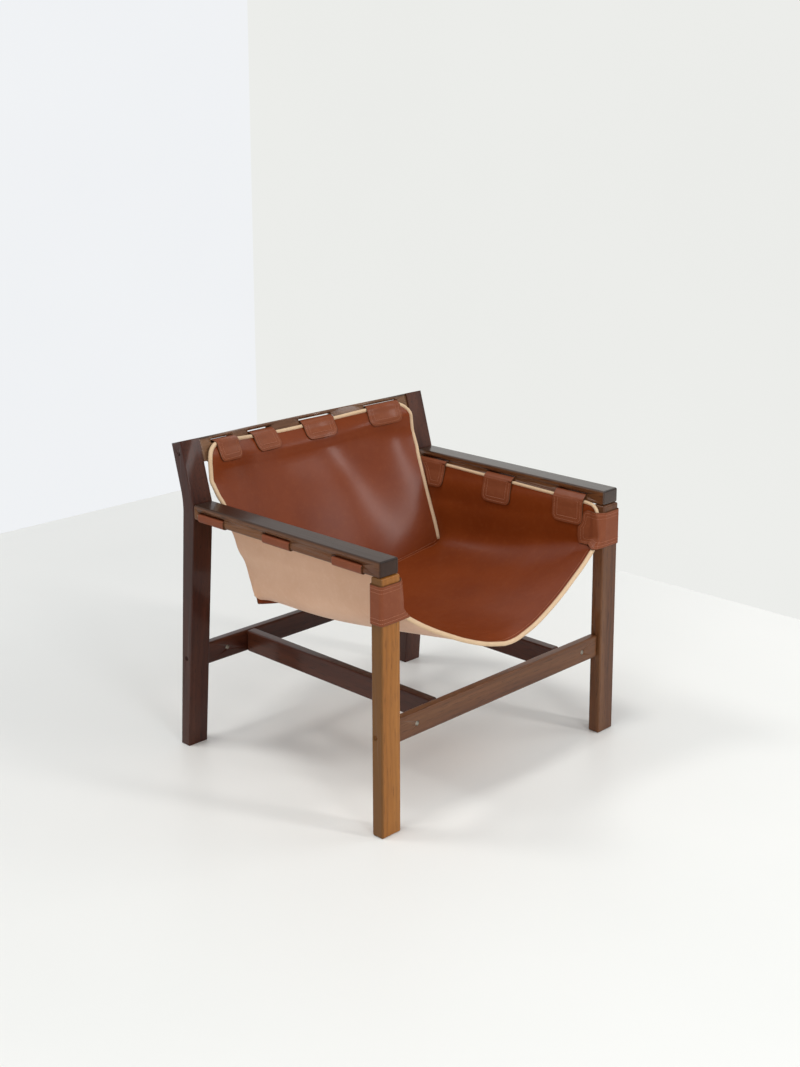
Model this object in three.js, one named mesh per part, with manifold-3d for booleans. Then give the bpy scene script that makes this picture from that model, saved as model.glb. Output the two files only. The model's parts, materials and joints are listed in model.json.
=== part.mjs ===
// Lounge chair with a leather sling: a dark hardwood frame of legs, raked back posts, slotted arms,
// a bowed slotted back rail, stretchers and long rails, and two leather sheets looped through it.
// Millimetres, +Z up. The frame is drawn with the front faces of the front legs at y = 0 and is
// moved at the end so that the origin lies on the floor below the middle of the chair.
import * as THREE from 'three';
import { mergeVertices } from 'three/addons/utils/BufferGeometryUtils.js';
import { RoundedBoxGeometry } from 'three/addons/geometries/RoundedBoxGeometry.js';
import Module from 'manifold-3d';

const wasm = await Module();
wasm.setup();

// Clearances shared by all pieces
const seatGap = 0.3;
const cutOverrun = 5;
const edgeRadius = 4;
const edgeSegments = 2;
const roundSides = 14;

// Front legs
const chairWidth = 700;
const legWidth = 49;
const legDepth = 27.5;
const legHeight = 505.5;
const legTenonHeight = 20;
const legTenonWidth = 28;
const legTenonDepth = 12;

// Arms
const armWidth = 47.6;
const armThickness = 31;
const armFrontSetback = 2.6;
const armTenonLength = 18;
const armTenonWidth = 26;
const armTenonThickness = 13;

// Back posts, drawn from the side
const postFrontAtFoot = 578.6;
const postFrontAtArm = 537.7;
const postFrontAtTop = 573.4;
const postRise = 124.9;
const postFootDepth = 25.5;
const postWaistDepth = 33.2;
const postTopDepth = 31.2;
const postBendLength = 26;
const postFrontEasing = 22;

// Stretchers and long rails
const stretcherThickness = 19.5;
const stretcherHeight = 47;
const stretcherBottom = 173.2;
const frontStretcherSetback = 8;
const rearStretcherSetback = 2.2;
const longRailThickness = 22.7;
const longRailInset = 105;
const longRailTenonLength = 9;
const longRailTenonThickness = 11;
const longRailTenonHeight = 30;

// Bowed back rail
const backRailThickness = 19.5;
const backRailHeight = 50;
const backRailSetback = 3;
const backRailBow = 83;
const bowWidthPower = 3;
const bowDepthPower = 3.6;
const backRailEdgeRadius = 2.5;
const backRailTenonLength = 18;
const backRailTenonThickness = 11;
const backRailTenonHeight = 34;

// Connector bolts, cross-dowel nuts and back rail screws
const boltRadius = 3;
const boltHeadRadius = 4.8;
const boltHeadHeight = 5;
const boltRecess = 8;
const boltLength = 98;
const boltRoom = 0.4;
const nutRadius = 5;
const nutLength = 15;
const nutFaceDepth = 0.6;
const nutInset = 52;
const screwRadius = 2;
const screwHeadRadius = 3.4;
const screwHeadHeight = 3;
const screwRecess = 5;
const screwLength = 52;

// Slots for the straps
const strapThickness = 2.6;
const slotHeight = 7.5;
const slotEndRoom = 3;
const armSlotRise = 12;
const backSlotDrop = 8;

// Straps and bands
const armStrapWidth = 78;
const armStrapFirst = 88;
const armStrapRearSetback = 56.7;
const armStrapCount = 3;
const armTongueLength = 52;
const backStrapWidthShare = 0.273;
const backStrapShares = [0.2782, 0.7833];
const backTongueReach = 59;
const tongueCorner = 15;
const tongueMargin = 10;
const bendSteps = 3;
const mouthLift = 1.2;
const cordSteps = 3;
const bandHeight = 74;
const bandTopDrop = 14.5;
const bandTongueLength = 58;
const bandSideLength = 9;

// Sheets and piping
const sheetThickness = 3;
const sidePipingRadius = 3.8;
const frontPipingRadius = 4.5;
const backPipingRadius = 4;
const pipingSides = 6;
const seatFrontTopRise = 1;
const seatRearTopRise = 11.5;
const seatRearSetback = 10.7;
const seatCornerLength = 45;
const seatFrontDip = 212.5;
const seatWallHeight = 174;
const seatWallRake = 86.5;
const seatCornerShare = 0.3365;
const seatWallColumns = 0.5;
const seamWidthShare = 0.9051;
const seamDip = 39;
const seamBow = 24;
const seamAllowance = 12;
const seatSag = 19.7;
const seatCornerSag = 25.3;
const sagForwardPower = 1.115;
const sagWidthPower = 2.33;
const backEdgeRoom = 4;
const backTopDrop = 17;
const backTopSag = 8;
const backTopPower = 2.5;
const backBowPower = 0.7;
const backCornerShare = 0.1433;
const cornerStartShare = 0.78;
const backLookLength = 90;
const backRunSteps = 20;
const faceRounds = 8;
const tongueGap = 0.6;
const slantRoom = 0.7;
const seamRoom = 4.2;
const pipingEndGap = 1.4;
const sideRunSteps = 5;
const cornerRunSteps = 8;
const frontRunSteps = 16;

// Places worked out from the sizes above
const halfWidth = chairWidth / 2;
const legInner = halfWidth - legWidth;
const armInner = halfWidth - armWidth;
const armTop = legHeight + armThickness;
const postHeight = armTop + postRise;
const rake = Math.atan2(postFrontAtTop - postFrontAtArm, postHeight - armTop);
const stretcherMiddle = stretcherBottom + stretcherHeight / 2;
const postFrontAt = (z) => postFrontAtFoot + (postFrontAtArm - postFrontAtFoot) * z / legHeight;
const frontStretcherFront = frontStretcherSetback;
const rearStretcherFront = postFrontAt(stretcherBottom) + rearStretcherSetback;
const longRailMiddle = legInner - longRailInset - longRailThickness / 2;
const railDown = new THREE.Vector3(0, -Math.sin(rake), -Math.cos(rake));
const railBack = new THREE.Vector3(0, Math.cos(rake), -Math.sin(rake));
const railCorner = new THREE.Vector3(0, postFrontAtTop, postHeight).addScaledVector(railBack, backRailSetback);

// Materials
const wood = new THREE.MeshStandardMaterial({ color: 0x3d1f17, roughness: 0.35, metalness: 0 });
const frontWood = new THREE.MeshStandardMaterial({ color: 0x7a4426, roughness: 0.4, metalness: 0 });
const leather = new THREE.MeshStandardMaterial({ color: 0x7d3f28, roughness: 0.42, metalness: 0 });
const cream = new THREE.MeshStandardMaterial({ color: 0xd9be92, roughness: 0.6, metalness: 0 });
const steel = new THREE.MeshStandardMaterial({ color: 0x9a958c, roughness: 0.35, metalness: 1 });

const chair = new THREE.Group();

function addPiece(name, geometry, material) {
  const mesh = new THREE.Mesh(geometry, material.clone());
  mesh.name = name;
  chair.add(mesh);
  return mesh;
}

// Closed solids for cutting and joining, and the way back to a geometry
function toSolid(geometry) {
  let bare = geometry.clone();
  bare.deleteAttribute('normal');
  bare.deleteAttribute('uv');
  bare = mergeVertices(bare);
  return new wasm.Manifold(new wasm.Mesh({
    numProp: 3,
    vertProperties: new Float32Array(bare.attributes.position.array),
    triVerts: new Uint32Array(bare.index.array),
  }));
}

function toGeometry(solid) {
  const mesh = solid.getMesh();
  const geometry = new THREE.BufferGeometry();
  const places = new Float32Array(mesh.vertProperties);
  geometry.setAttribute('position', new THREE.BufferAttribute(places, mesh.numProp));
  geometry.setIndex(new THREE.BufferAttribute(new Uint32Array(mesh.triVerts), 1));
  return geometry;
}

function largestBody(solid) {
  return solid.decompose().reduce((best, body) => (body.volume() > best.volume() ? body : best));
}

// A block with rounded edges, given by its two opposite corners
function roundedBlock(low, high, radius = edgeRadius) {
  const size = new THREE.Vector3().subVectors(high, low);
  const middle = new THREE.Vector3().addVectors(low, high).multiplyScalar(1 / 2);
  return new RoundedBoxGeometry(size.x, size.y, size.z, edgeSegments, radius)
    .translate(middle.x, middle.y, middle.z);
}

// A sharp block, for tenons and mortises
function block(low, high) {
  const size = new THREE.Vector3().subVectors(high, low);
  const middle = new THREE.Vector3().addVectors(low, high).multiplyScalar(1 / 2);
  return new THREE.BoxGeometry(size.x, size.y, size.z).translate(middle.x, middle.y, middle.z);
}

const at = (x, y, z) => new THREE.Vector3(x, y, z);
const towards = (from, to, length) => from.clone().add(to.clone().sub(from).setLength(length));

// A block round a middle point, grown on every side
function blockAround(middle, size, growth) {
  const half = size.clone().multiplyScalar(1 / 2).addScalar(growth);
  return block(middle.clone().sub(half), middle.clone().add(half));
}

// A round bar along x or y from one place to another
function bar(radius, start, end, axis) {
  const length = end.distanceTo(start);
  const middle = new THREE.Vector3().addVectors(start, end).multiplyScalar(1 / 2);
  const cylinder = new THREE.CylinderGeometry(radius, radius, length, roundSides);
  if (axis === 'x') cylinder.rotateZ(Math.PI / 2);
  return cylinder.translate(middle.x, middle.y, middle.z);
}

// The left and right side, and blocks mirrored to them
const sides = [['left', -1], ['right', 1]];
const ordered = (a, b) => [at(Math.min(a.x, b.x), a.y, a.z), at(Math.max(a.x, b.x), b.y, b.z)];
const sideRounded = (side, low, high) => (
  roundedBlock(...ordered(at(side * low.x, low.y, low.z), at(side * high.x, high.y, high.z))));

// Bolt bores through a leg into a stretcher end, shared by the legs and the stretchers
const nutPlace = (side, y) => at(side * (legInner - nutInset), y, stretcherMiddle);
const frontBoltY = frontStretcherFront + stretcherThickness / 2;
const rearBoltY = rearStretcherFront + stretcherThickness / 2;
const boltHeadFace = halfWidth - boltRecess;

function boltBore(side, y) {
  const bore = bar(boltRadius + boltRoom, at(side * (halfWidth + cutOverrun), y, stretcherMiddle),
    at(side * (boltHeadFace - boltLength - boltRoom), y, stretcherMiddle), 'x');
  const recess = bar(boltHeadRadius + boltRoom, at(side * (halfWidth + cutOverrun), y, stretcherMiddle),
    at(side * (boltHeadFace - boltHeadHeight - seatGap), y, stretcherMiddle), 'x');
  return toSolid(bore).add(toSolid(recess));
}

// Front legs with a tenon on top that stands in the arm
const legTenonMiddle = at(halfWidth - legWidth / 2, legDepth / 2, legHeight);
const legTenonSize = at(legTenonWidth, legTenonDepth, 2 * legTenonHeight);
for (const [name, side] of sides) {
  const post = toSolid(sideRounded(side, at(legInner, 0, 0), at(halfWidth, legDepth, legHeight - seatGap)));
  const tenonMiddle = at(side * legTenonMiddle.x, legTenonMiddle.y, legTenonMiddle.z);
  const leg = post.add(toSolid(blockAround(tenonMiddle, legTenonSize, 0))).subtract(boltBore(side, frontBoltY));
  addPiece(`front_leg_${name}`, toGeometry(leg), name === 'left' ? frontWood : wood);
}

const backHalf = legInner - backEdgeRoom - backPipingRadius;
const backStrapWidth = backStrapWidthShare * backHalf;
const backCornerRadius = backCornerShare * backHalf;

// Back rail: places measured down its raked face, backwards from it, and along the bow
const bowAt = (x) => backRailBow * (1 - Math.min(1, Math.abs(x / legInner)) ** bowWidthPower) ** bowDepthPower;
const bowSlopeAt = (x) => (bowAt(x + seatGap) - bowAt(x - seatGap)) / (2 * seatGap);
const easedEdgeAt = (x) => backRailEdgeRadius * Math.hypot(1, bowSlopeAt(x));
const railPoint = (x, down, back) => (
  railCorner.clone().addScaledVector(railDown, down).addScaledVector(railBack, bowAt(x) + back).setX(x));
const intoRail = new THREE.Matrix4().makeBasis(at(1, 0, 0), railBack, railDown.clone().negate())
  .setPosition(railCorner);

function railBlock(lowX, highX, lowBack, highBack, lowDown, highDown) {
  return block(at(lowX, lowBack, -highDown), at(highX, highBack, -lowDown)).applyMatrix4(intoRail);
}

// The frame of a back strap on the bowed rail: across the strap, down the rail's face and back through it.
// The rail's front face, or a face moved back from it, lies at its own depth at each distance across.
function strapFrame(place) {
  const slope = bowSlopeAt(place);
  const turn = 1 / Math.hypot(1, slope);
  const across = at(1, 0, 0).addScaledVector(railBack, slope).multiplyScalar(turn);
  const normal = at(-slope, 0, 0).add(railBack).multiplyScalar(turn);
  const origin = railPoint(place, 0, 0);
  const depthAt = (distance, moved = 0) => {
    const along = distance - moved * slope * turn;
    let x = place + along * turn;
    for (let i = 0; i < faceRounds; i += 1) x = place + along / turn - (bowAt(x) - bowAt(place)) * slope;
    return (bowAt(x) - bowAt(place) - (x - place) * slope + moved) * turn;
  };
  const pointAt = (distance, down, depth) => origin.clone().addScaledVector(across, distance)
    .addScaledVector(railDown, down).addScaledVector(normal, depth);
  const matrix = new THREE.Matrix4().makeBasis(across, normal, railDown.clone().negate()).setPosition(origin);
  return { normal, depthAt, pointAt, matrix };
}

const railTenonBack = (backRailThickness - backRailTenonThickness) / 2;
const railTenonDown = (backRailHeight - backRailTenonHeight) / 2;
function railTenon(side, growth) {
  const xs = [side * (legInner - backRailEdgeRadius), side * (legInner + backRailTenonLength + growth)];
  return toSolid(railBlock(Math.min(...xs), Math.max(...xs), railTenonBack - growth,
    railTenonBack + backRailTenonThickness + growth, railTenonDown - growth,
    railTenonDown + backRailTenonHeight + growth));
}

const slotLengthFor = (width) => width + 2 * slotEndRoom;
const [backStrapInner, backStrapOuter] = backStrapShares.map((share) => share * backHalf);
const backStrapPlaces = [-backStrapOuter, -backStrapInner, backStrapInner, backStrapOuter];
const railHalf = legInner - seatGap - backRailEdgeRadius;
const mirroredShares = (shares) => [...shares.slice(1).reverse().map((share) => -share), ...shares];

// Stations along the bow that fall on the edges and middles of the straps
const strapStations = [-1, -1 / 2, 0, 1 / 2, 1];
const stationsOf = (place) => strapStations.map((station) => (
  place + station * backStrapWidth / 2 / Math.hypot(1, bowSlopeAt(place))));
const between = (from, to, share) => from + (to - from) * share;
const innerStations = stationsOf(backStrapInner);
const outerStations = stationsOf(backStrapOuter);
const bowStationShares = [
  0,
  innerStations[0] / 2,
  ...innerStations,
  between(innerStations.at(-1), outerStations[0], 1 / 3),
  between(innerStations.at(-1), outerStations[0], 2 / 3),
  ...outerStations,
  backHalf,
].map((x) => x / backHalf);
const railStations = mirroredShares([...bowStationShares.map((share) => share * backHalf), railHalf]);
const railOutline = new THREE.Shape();
railStations.forEach((x, i) => {
  if (i === 0) railOutline.moveTo(x, bowAt(x) + easedEdgeAt(x));
  else railOutline.lineTo(x, bowAt(x) + easedEdgeAt(x));
});
[...railStations].reverse().forEach((x) => {
  railOutline.lineTo(x, bowAt(x) + backRailThickness - easedEdgeAt(x));
});
const railBody = new THREE.ExtrudeGeometry(railOutline, {
  depth: backRailHeight - 2 * backRailEdgeRadius,
  bevelEnabled: true,
  bevelThickness: backRailEdgeRadius,
  bevelSize: backRailEdgeRadius,
  bevelSegments: edgeSegments,
  steps: 1,
}).translate(0, 0, backRailEdgeRadius - backRailHeight).applyMatrix4(intoRail);

// Screws through the posts into the ends of the back rail
const screwPlace = (x) => railCorner.clone()
  .addScaledVector(railDown, backRailHeight / 2).addScaledVector(railBack, backRailThickness / 2).setX(x);
function screwBore(side) {
  const bore = bar(screwRadius + boltRoom, screwPlace(side * (halfWidth + cutOverrun)),
    screwPlace(side * (halfWidth - screwRecess - screwLength - boltRoom)), 'x');
  const recess = bar(screwHeadRadius + boltRoom, screwPlace(side * (halfWidth + cutOverrun)),
    screwPlace(side * (halfWidth - screwRecess - screwHeadHeight - seatGap)), 'x');
  return toSolid(bore).add(toSolid(recess));
}

let rail = toSolid(railBody);
for (const [, side] of sides) rail = rail.add(railTenon(side, 0));
for (const [, side] of sides) rail = rail.subtract(screwBore(side));
for (const place of backStrapPlaces) {
  const half = slotLengthFor(backStrapWidth) / 2;
  const cut = block(at(-half, -backRailThickness, -backSlotDrop - slotHeight),
    at(half, 2 * backRailThickness, -backSlotDrop)).applyMatrix4(strapFrame(place).matrix);
  rail = rail.subtract(toSolid(cut));
}
addPiece('back_rail', toGeometry(rail), wood);

// Back posts: one profile seen from the side, raked above the arm and leaning back to the foot below it
const topBack = at(0, postFrontAtTop, postHeight).addScaledVector(railBack, postTopDepth);
const waistBack = at(0, postFrontAtArm + postWaistDepth, armTop);
const footBack = at(0, postFrontAtFoot + postFootDepth, 0);
const easeLow = towards(at(0, postFrontAtArm, legHeight), at(0, postFrontAtFoot, 0), postFrontEasing);
const easeHigh = towards(at(0, postFrontAtArm, armTop), at(0, postFrontAtTop, postHeight), postFrontEasing);
const bendHigh = towards(waistBack, topBack, postBendLength);
const bendLow = towards(waistBack, footBack, postBendLength);
const postOutline = new THREE.Shape();
postOutline.moveTo(postFrontAtFoot, 0);
postOutline.lineTo(footBack.y, footBack.z);
postOutline.lineTo(bendLow.y, bendLow.z);
postOutline.quadraticCurveTo(waistBack.y, waistBack.z, bendHigh.y, bendHigh.z);
postOutline.lineTo(topBack.y, topBack.z);
postOutline.lineTo(postFrontAtTop, postHeight);
postOutline.lineTo(easeHigh.y, easeHigh.z);
postOutline.lineTo(postFrontAtArm, armTop);
postOutline.lineTo(postFrontAtArm, legHeight);
postOutline.lineTo(easeLow.y, easeLow.z);
const postEdge = edgeRadius / 2;
const armTenonMiddle = at(halfWidth - armWidth / 2, postFrontAtArm, (legHeight + armTop) / 2);
const armTenonSize = at(armTenonWidth, 2 * armTenonLength, armTenonThickness);
for (const [name, side] of sides) {
  const body = new THREE.ExtrudeGeometry(postOutline, {
    depth: legWidth - 2 * postEdge,
    bevelEnabled: true,
    bevelThickness: postEdge,
    bevelSize: postEdge,
    bevelOffset: -postEdge,
    bevelSegments: edgeSegments,
    curveSegments: 6,
  });
  body.applyMatrix4(new THREE.Matrix4().makeBasis(at(0, 1, 0), at(0, 0, 1), at(1, 0, 0)));
  body.translate(side * (halfWidth - legWidth / 2) - legWidth / 2 + postEdge, 0, 0);
  const tenonMiddle = at(side * armTenonMiddle.x, armTenonMiddle.y, armTenonMiddle.z);
  const post = toSolid(body)
    .subtract(toSolid(blockAround(tenonMiddle, armTenonSize, seatGap)))
    .subtract(railTenon(side, seatGap))
    .subtract(boltBore(side, rearBoltY))
    .subtract(screwBore(side));
  addPiece(`back_post_${name}`, toGeometry(post), wood);
}

// Arms with three long slots each
const armFront = armFrontSetback;
const armBack = postFrontAtArm - seatGap;
const armSlotBottom = legHeight + armSlotRise;
const armStrapSpacing = (postFrontAtArm - armStrapRearSetback - armStrapFirst) / (armStrapCount - 1);
const armStrapPlaces = Array.from({ length: armStrapCount }, (_, i) => armStrapFirst + i * armStrapSpacing);
function roundedSlot(length, height, depth) {
  const slot = new THREE.Shape();
  const flat = (length - height) / 2;
  slot.moveTo(-flat, -height / 2);
  slot.lineTo(flat, -height / 2);
  slot.absarc(flat, 0, height / 2, -Math.PI / 2, Math.PI / 2, false);
  slot.lineTo(-flat, height / 2);
  slot.absarc(-flat, 0, height / 2, Math.PI / 2, 3 * Math.PI / 2, false);
  return new THREE.ExtrudeGeometry(slot, { depth, bevelEnabled: false, curveSegments: 3 });
}
for (const [name, side] of sides) {
  let arm = toSolid(sideRounded(side, at(armInner, armFront, legHeight), at(halfWidth, armBack, armTop)));
  const tenonMiddle = at(side * armTenonMiddle.x, armTenonMiddle.y, armTenonMiddle.z);
  arm = arm.add(toSolid(blockAround(tenonMiddle, armTenonSize, 0)));
  const legMiddle = at(side * legTenonMiddle.x, legTenonMiddle.y, legTenonMiddle.z);
  arm = arm.subtract(toSolid(blockAround(legMiddle, legTenonSize, seatGap)));
  for (const place of armStrapPlaces) {
    const cut = roundedSlot(slotLengthFor(armStrapWidth), slotHeight, armWidth + 2 * cutOverrun);
    cut.applyMatrix4(new THREE.Matrix4().makeBasis(at(0, 1, 0), at(0, 0, 1), at(1, 0, 0)));
    cut.translate(side * (halfWidth - armWidth / 2) - armWidth / 2 - cutOverrun, place,
      armSlotBottom + slotHeight / 2);
    arm = arm.subtract(toSolid(cut));
  }
  addPiece(`arm_${name}`, toGeometry(arm), wood);
}

// Front and rear stretchers, bored for the bolts and nuts and mortised for the long rails
const longRailEnds = [frontStretcherFront + stretcherThickness, rearStretcherFront];
function longRailTenon(side, y, growth) {
  const middle = at(side * longRailMiddle, y, stretcherMiddle);
  const size = at(longRailTenonThickness, 2 * longRailTenonLength, longRailTenonHeight);
  return toSolid(blockAround(middle, size, growth));
}
function nutBore(side, front, growth) {
  const place = nutPlace(side, 0);
  return toSolid(bar(nutRadius + growth, at(place.x, front - cutOverrun * Math.sign(growth), place.z),
    at(place.x, front + nutFaceDepth + nutLength + growth, place.z), 'y'));
}
for (const [name, front, boltY, railEnd] of [
  ['front', frontStretcherFront, frontBoltY, longRailEnds[0]],
  ['rear', rearStretcherFront, rearBoltY, longRailEnds[1]],
]) {
  let stretcher = toSolid(roundedBlock(at(seatGap - legInner, front, stretcherBottom),
    at(legInner - seatGap, front + stretcherThickness, stretcherBottom + stretcherHeight)));
  for (const [sideName, side] of sides) {
    stretcher = stretcher.subtract(boltBore(side, boltY));
    stretcher = stretcher.subtract(nutBore(side, front, seatGap));
    stretcher = stretcher.subtract(longRailTenon(side, railEnd, seatGap));
    const bolt = new THREE.LatheGeometry([
      new THREE.Vector2(0, 0),
      new THREE.Vector2(boltHeadRadius, 0),
      new THREE.Vector2(boltHeadRadius, boltHeadHeight),
      new THREE.Vector2(boltRadius, boltHeadHeight),
      new THREE.Vector2(boltRadius, boltLength),
      new THREE.Vector2(0, boltLength),
    ], roundSides);
    bolt.rotateZ(side * Math.PI / 2).translate(side * boltHeadFace, boltY, stretcherMiddle);
    addPiece(`${name}_bolt_${sideName}`, toGeometry(toSolid(bolt)), steel);
    const nutMiddle = nutPlace(side, front + nutFaceDepth);
    const nut = toSolid(bar(nutRadius, nutMiddle, at(nutMiddle.x, nutMiddle.y + nutLength, nutMiddle.z), 'y'))
      .subtract(toSolid(bar(boltRadius + boltRoom, at(nutMiddle.x - nutRadius - cutOverrun, boltY, nutMiddle.z),
        at(nutMiddle.x + nutRadius + cutOverrun, boltY, nutMiddle.z), 'x')));
    addPiece(`${name}_nut_${sideName}`, toGeometry(nut), steel);
  }
  addPiece(`${name}_stretcher`, toGeometry(stretcher), wood);
}

// Long rails between the stretchers
for (const [name, side] of sides) {
  const inner = longRailMiddle - longRailThickness / 2;
  const outer = longRailMiddle + longRailThickness / 2;
  let longRail = toSolid(sideRounded(side, at(inner, longRailEnds[0] + seatGap, stretcherBottom),
    at(outer, longRailEnds[1] - seatGap, stretcherBottom + stretcherHeight)));
  for (const end of longRailEnds) longRail = longRail.add(longRailTenon(side, end, 0));
  addPiece(`long_rail_${name}`, toGeometry(longRail), wood);
}

// Screws of the back rail
for (const [name, side] of sides) {
  const screw = new THREE.LatheGeometry([
    new THREE.Vector2(0, 0),
    new THREE.Vector2(screwHeadRadius, 0),
    new THREE.Vector2(screwHeadRadius, screwHeadHeight),
    new THREE.Vector2(screwRadius, screwHeadHeight),
    new THREE.Vector2(screwRadius, screwLength),
    new THREE.Vector2(0, screwLength),
  ], roundSides);
  const place = screwPlace(side * (halfWidth - screwRecess));
  screw.rotateZ(side * Math.PI / 2).translate(place.x, place.y, place.z);
  addPiece(`rail_screw_${name}`, toGeometry(toSolid(screw)), steel);
}

// Leather as a slab laid over a grid of places: rows across, columns along
function slab(grid, thickness) {
  const across = grid.length - 1;
  const along = grid[0].length - 1;
  const normals = grid.map((row, i) => row.map((place, j) => {
    const left = grid[Math.max(0, i - 1)][j];
    const right = grid[Math.min(across, i + 1)][j];
    const before = grid[i][Math.max(0, j - 1)];
    const after = grid[i][Math.min(along, j + 1)];
    const inward = place.clone().sub(before).normalize();
    const outward = after.clone().sub(place).normalize();
    const along2 = inward.clone().add(outward).normalize();
    const normal = right.clone().sub(left).cross(along2).normalize();
    const turn = inward.lengthSq() && outward.lengthSq() ? inward.dot(outward) : 1;
    return normal.multiplyScalar(1 / Math.sqrt(Math.max(1 / 2, (1 + turn) / 2)));
  }));
  const geometry = new THREE.BoxGeometry(1, 1, 1, across, along, 1);
  const position = geometry.attributes.position;
  for (let k = 0; k < position.count; k += 1) {
    const i = Math.round((position.getX(k) + 1 / 2) * across);
    const j = Math.round((position.getY(k) + 1 / 2) * along);
    const place = grid[i][j].clone().addScaledVector(normals[i][j], position.getZ(k) * thickness);
    position.setXYZ(k, place.x, place.y, place.z);
  }
  return geometry;
}

const makeGrid = (columns, rows, placeAt) => (
  columns.map((across) => rows.map((along) => placeAt(across, along))));

// Draw the rows at the start and end of a grid back from their edges, to leave room there
function drawBack(grid, startRoom, endRoom) {
  grid.forEach((column, i) => {
    const end = column.length - 1;
    if (startRoom[i]) column[0] = towards(column[0], column[1], startRoom[i]);
    if (endRoom) column[end] = towards(column[end], column[end - 1], endRoom);
  });
  return grid;
}

// A round cord along a curve
function tube(places, radius, steps) {
  const circle = new THREE.Shape();
  for (let i = 0; i < pipingSides; i += 1) {
    const angle = 2 * Math.PI * i / pipingSides;
    const x = radius * Math.cos(angle);
    const y = radius * Math.sin(angle);
    if (i === 0) circle.moveTo(x, y);
    else circle.lineTo(x, y);
  }
  const extrudePath = new THREE.CatmullRomCurve3(places, false, 'centripetal');
  return new THREE.ExtrudeGeometry(circle, { steps, extrudePath });
}

// How far along a falling curve it first lies past a limit
function reachWhere(curve, isPast) {
  let low = 0;
  let high = 1;
  for (let i = 0; i < 40; i += 1) {
    const middle = (low + high) / 2;
    if (isPast(curve.getPointAt(middle))) high = middle;
    else low = middle;
  }
  return low;
}

// Seat sheet. Its front edge runs from the arm round a corner, down the leg and across in a curve:
// shares across the half width, back along the corner and down the dip.
const seatHalf = armInner - sidePipingRadius - seatGap;
const seatFrontTop = legHeight + seatFrontTopRise;
const seatRearTop = legHeight + seatRearTopRise;
const frontEdgeShares = [
  [1, 1, 0], [0.9973, 0.667, 0.014], [0.9925, 0.4, 0.045], [0.9906, 0.16, 0.075], [0.9906, 0.11, 0.12],
  [0.9906, 0.11, 0.242], [0.9903, 0.11, 0.336], [0.9554, 0.2, 0.407], [0.9118, 0.19, 0.454],
  [0.8113, 0.127, 0.548], [0.6973, 0.078, 0.642], [0.5682, -0.011, 0.736], [0.4281, -0.073, 0.83],
  [0.2531, -0.151, 0.925], [0.1301, -0.173, 0.972], [0, -0.178, 1],
];
const frontEdge = new THREE.CatmullRomCurve3(frontEdgeShares.map(([x, y, z]) => (
  at(x * seatHalf, y * seatCornerLength, seatFrontTop - z * seatFrontDip))), false, 'centripetal');

// The free rear edge leaves the arm, runs down and forward to the end of the seam, and the seam
// itself hangs in a shallow curve: shares inwards, back and down.
const seamHalfWidth = seamWidthShare * seatHalf;
const seamEndY = postFrontAtArm - seatRearSetback - seatWallRake;
const seamEndZ = seatRearTop - seatWallHeight;
const rearWallShares = [
  [0, 1, 0], [0.187, 0.838, 0.098], [0.505, 0.636, 0.25], [0.594, 0.457, 0.454], [0.77, 0.312, 0.575],
  [0.788, 0.133, 0.787], [1, 0, 1],
];
const seamShares = [0.8, 0.6, 0.4, 0.2, 0];
const seamPlace = (share) => at(share * seamHalfWidth, seamEndY + seamBow * (1 - share ** 2),
  seamEndZ - seamDip * (1 - share ** 2));
const rearEdge = new THREE.CatmullRomCurve3([
  ...rearWallShares.map(([x, y, z]) => (
    at(seatHalf - x * (seatHalf - seamHalfWidth), seamEndY + y * seatWallRake, seatRearTop - z * seatWallHeight))),
  ...seamShares.map(seamPlace),
], false, 'centripetal');

// The side wall lies between the front corner and the free rear edge, the bottom between the dip and
// the seam. The bottom sags in the middle and at its corners with the walls.
const cornerEnd = reachWhere(frontEdge, (place) => place.z < seatFrontTop - seatCornerShare * seatFrontDip);
const wallEnd = reachWhere(rearEdge, (place) => place.z < seamEndZ);
function seatPlace(across, along) {
  const inward = 1 - Math.abs(across);
  const onWall = inward < seatWallColumns;
  const part = onWall ? inward / seatWallColumns : (inward - seatWallColumns) / (1 - seatWallColumns);
  const front = frontEdge.getPointAt(onWall ? cornerEnd * part : between(cornerEnd, 1, part));
  const rear = rearEdge.getPointAt(onWall ? wallEnd * part : between(wallEnd, 1, part));
  const place = front.lerp(rear, along);
  const swing = Math.sin(Math.PI / 2 * part);
  const cornerSag = onWall ? swing ** 2 : 1 - swing ** 2;
  const middleSag = onWall ? 0 : swing ** sagWidthPower;
  place.z -= seatCornerSag * cornerSag * Math.sin(Math.PI * along);
  place.z -= seatSag * middleSag * Math.sin(Math.PI * along ** sagForwardPower);
  if (across < 0) place.x = -place.x;
  return place;
}
const seatColumnShares = [0, 0.08, 0.17, 0.26, 0.35, 0.43, 0.5, 0.6, 0.7, 0.78, 0.86, 0.93, 1];
const seatRowShares = [0, 0.05, 0.12, 0.2, 0.28, 0.36, 0.44, 0.52, 0.6, 0.68, 0.76, 0.84, 0.92, 1];
const seatColumns = mirroredShares(seatColumnShares);
const bandMiddle = legHeight - bandTopDrop - bandHeight / 2;
const bandReach = reachWhere(frontEdge, (place) => place.z < bandMiddle);
const seatStartRoom = seatColumns.map((share) => (
  seatPlace(share, 0).z < bandMiddle ? frontPipingRadius + seatGap + tongueGap : 0));
const seatGrid = drawBack(makeGrid(seatColumns, seatRowShares, seatPlace), seatStartRoom, seamRoom);

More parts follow.
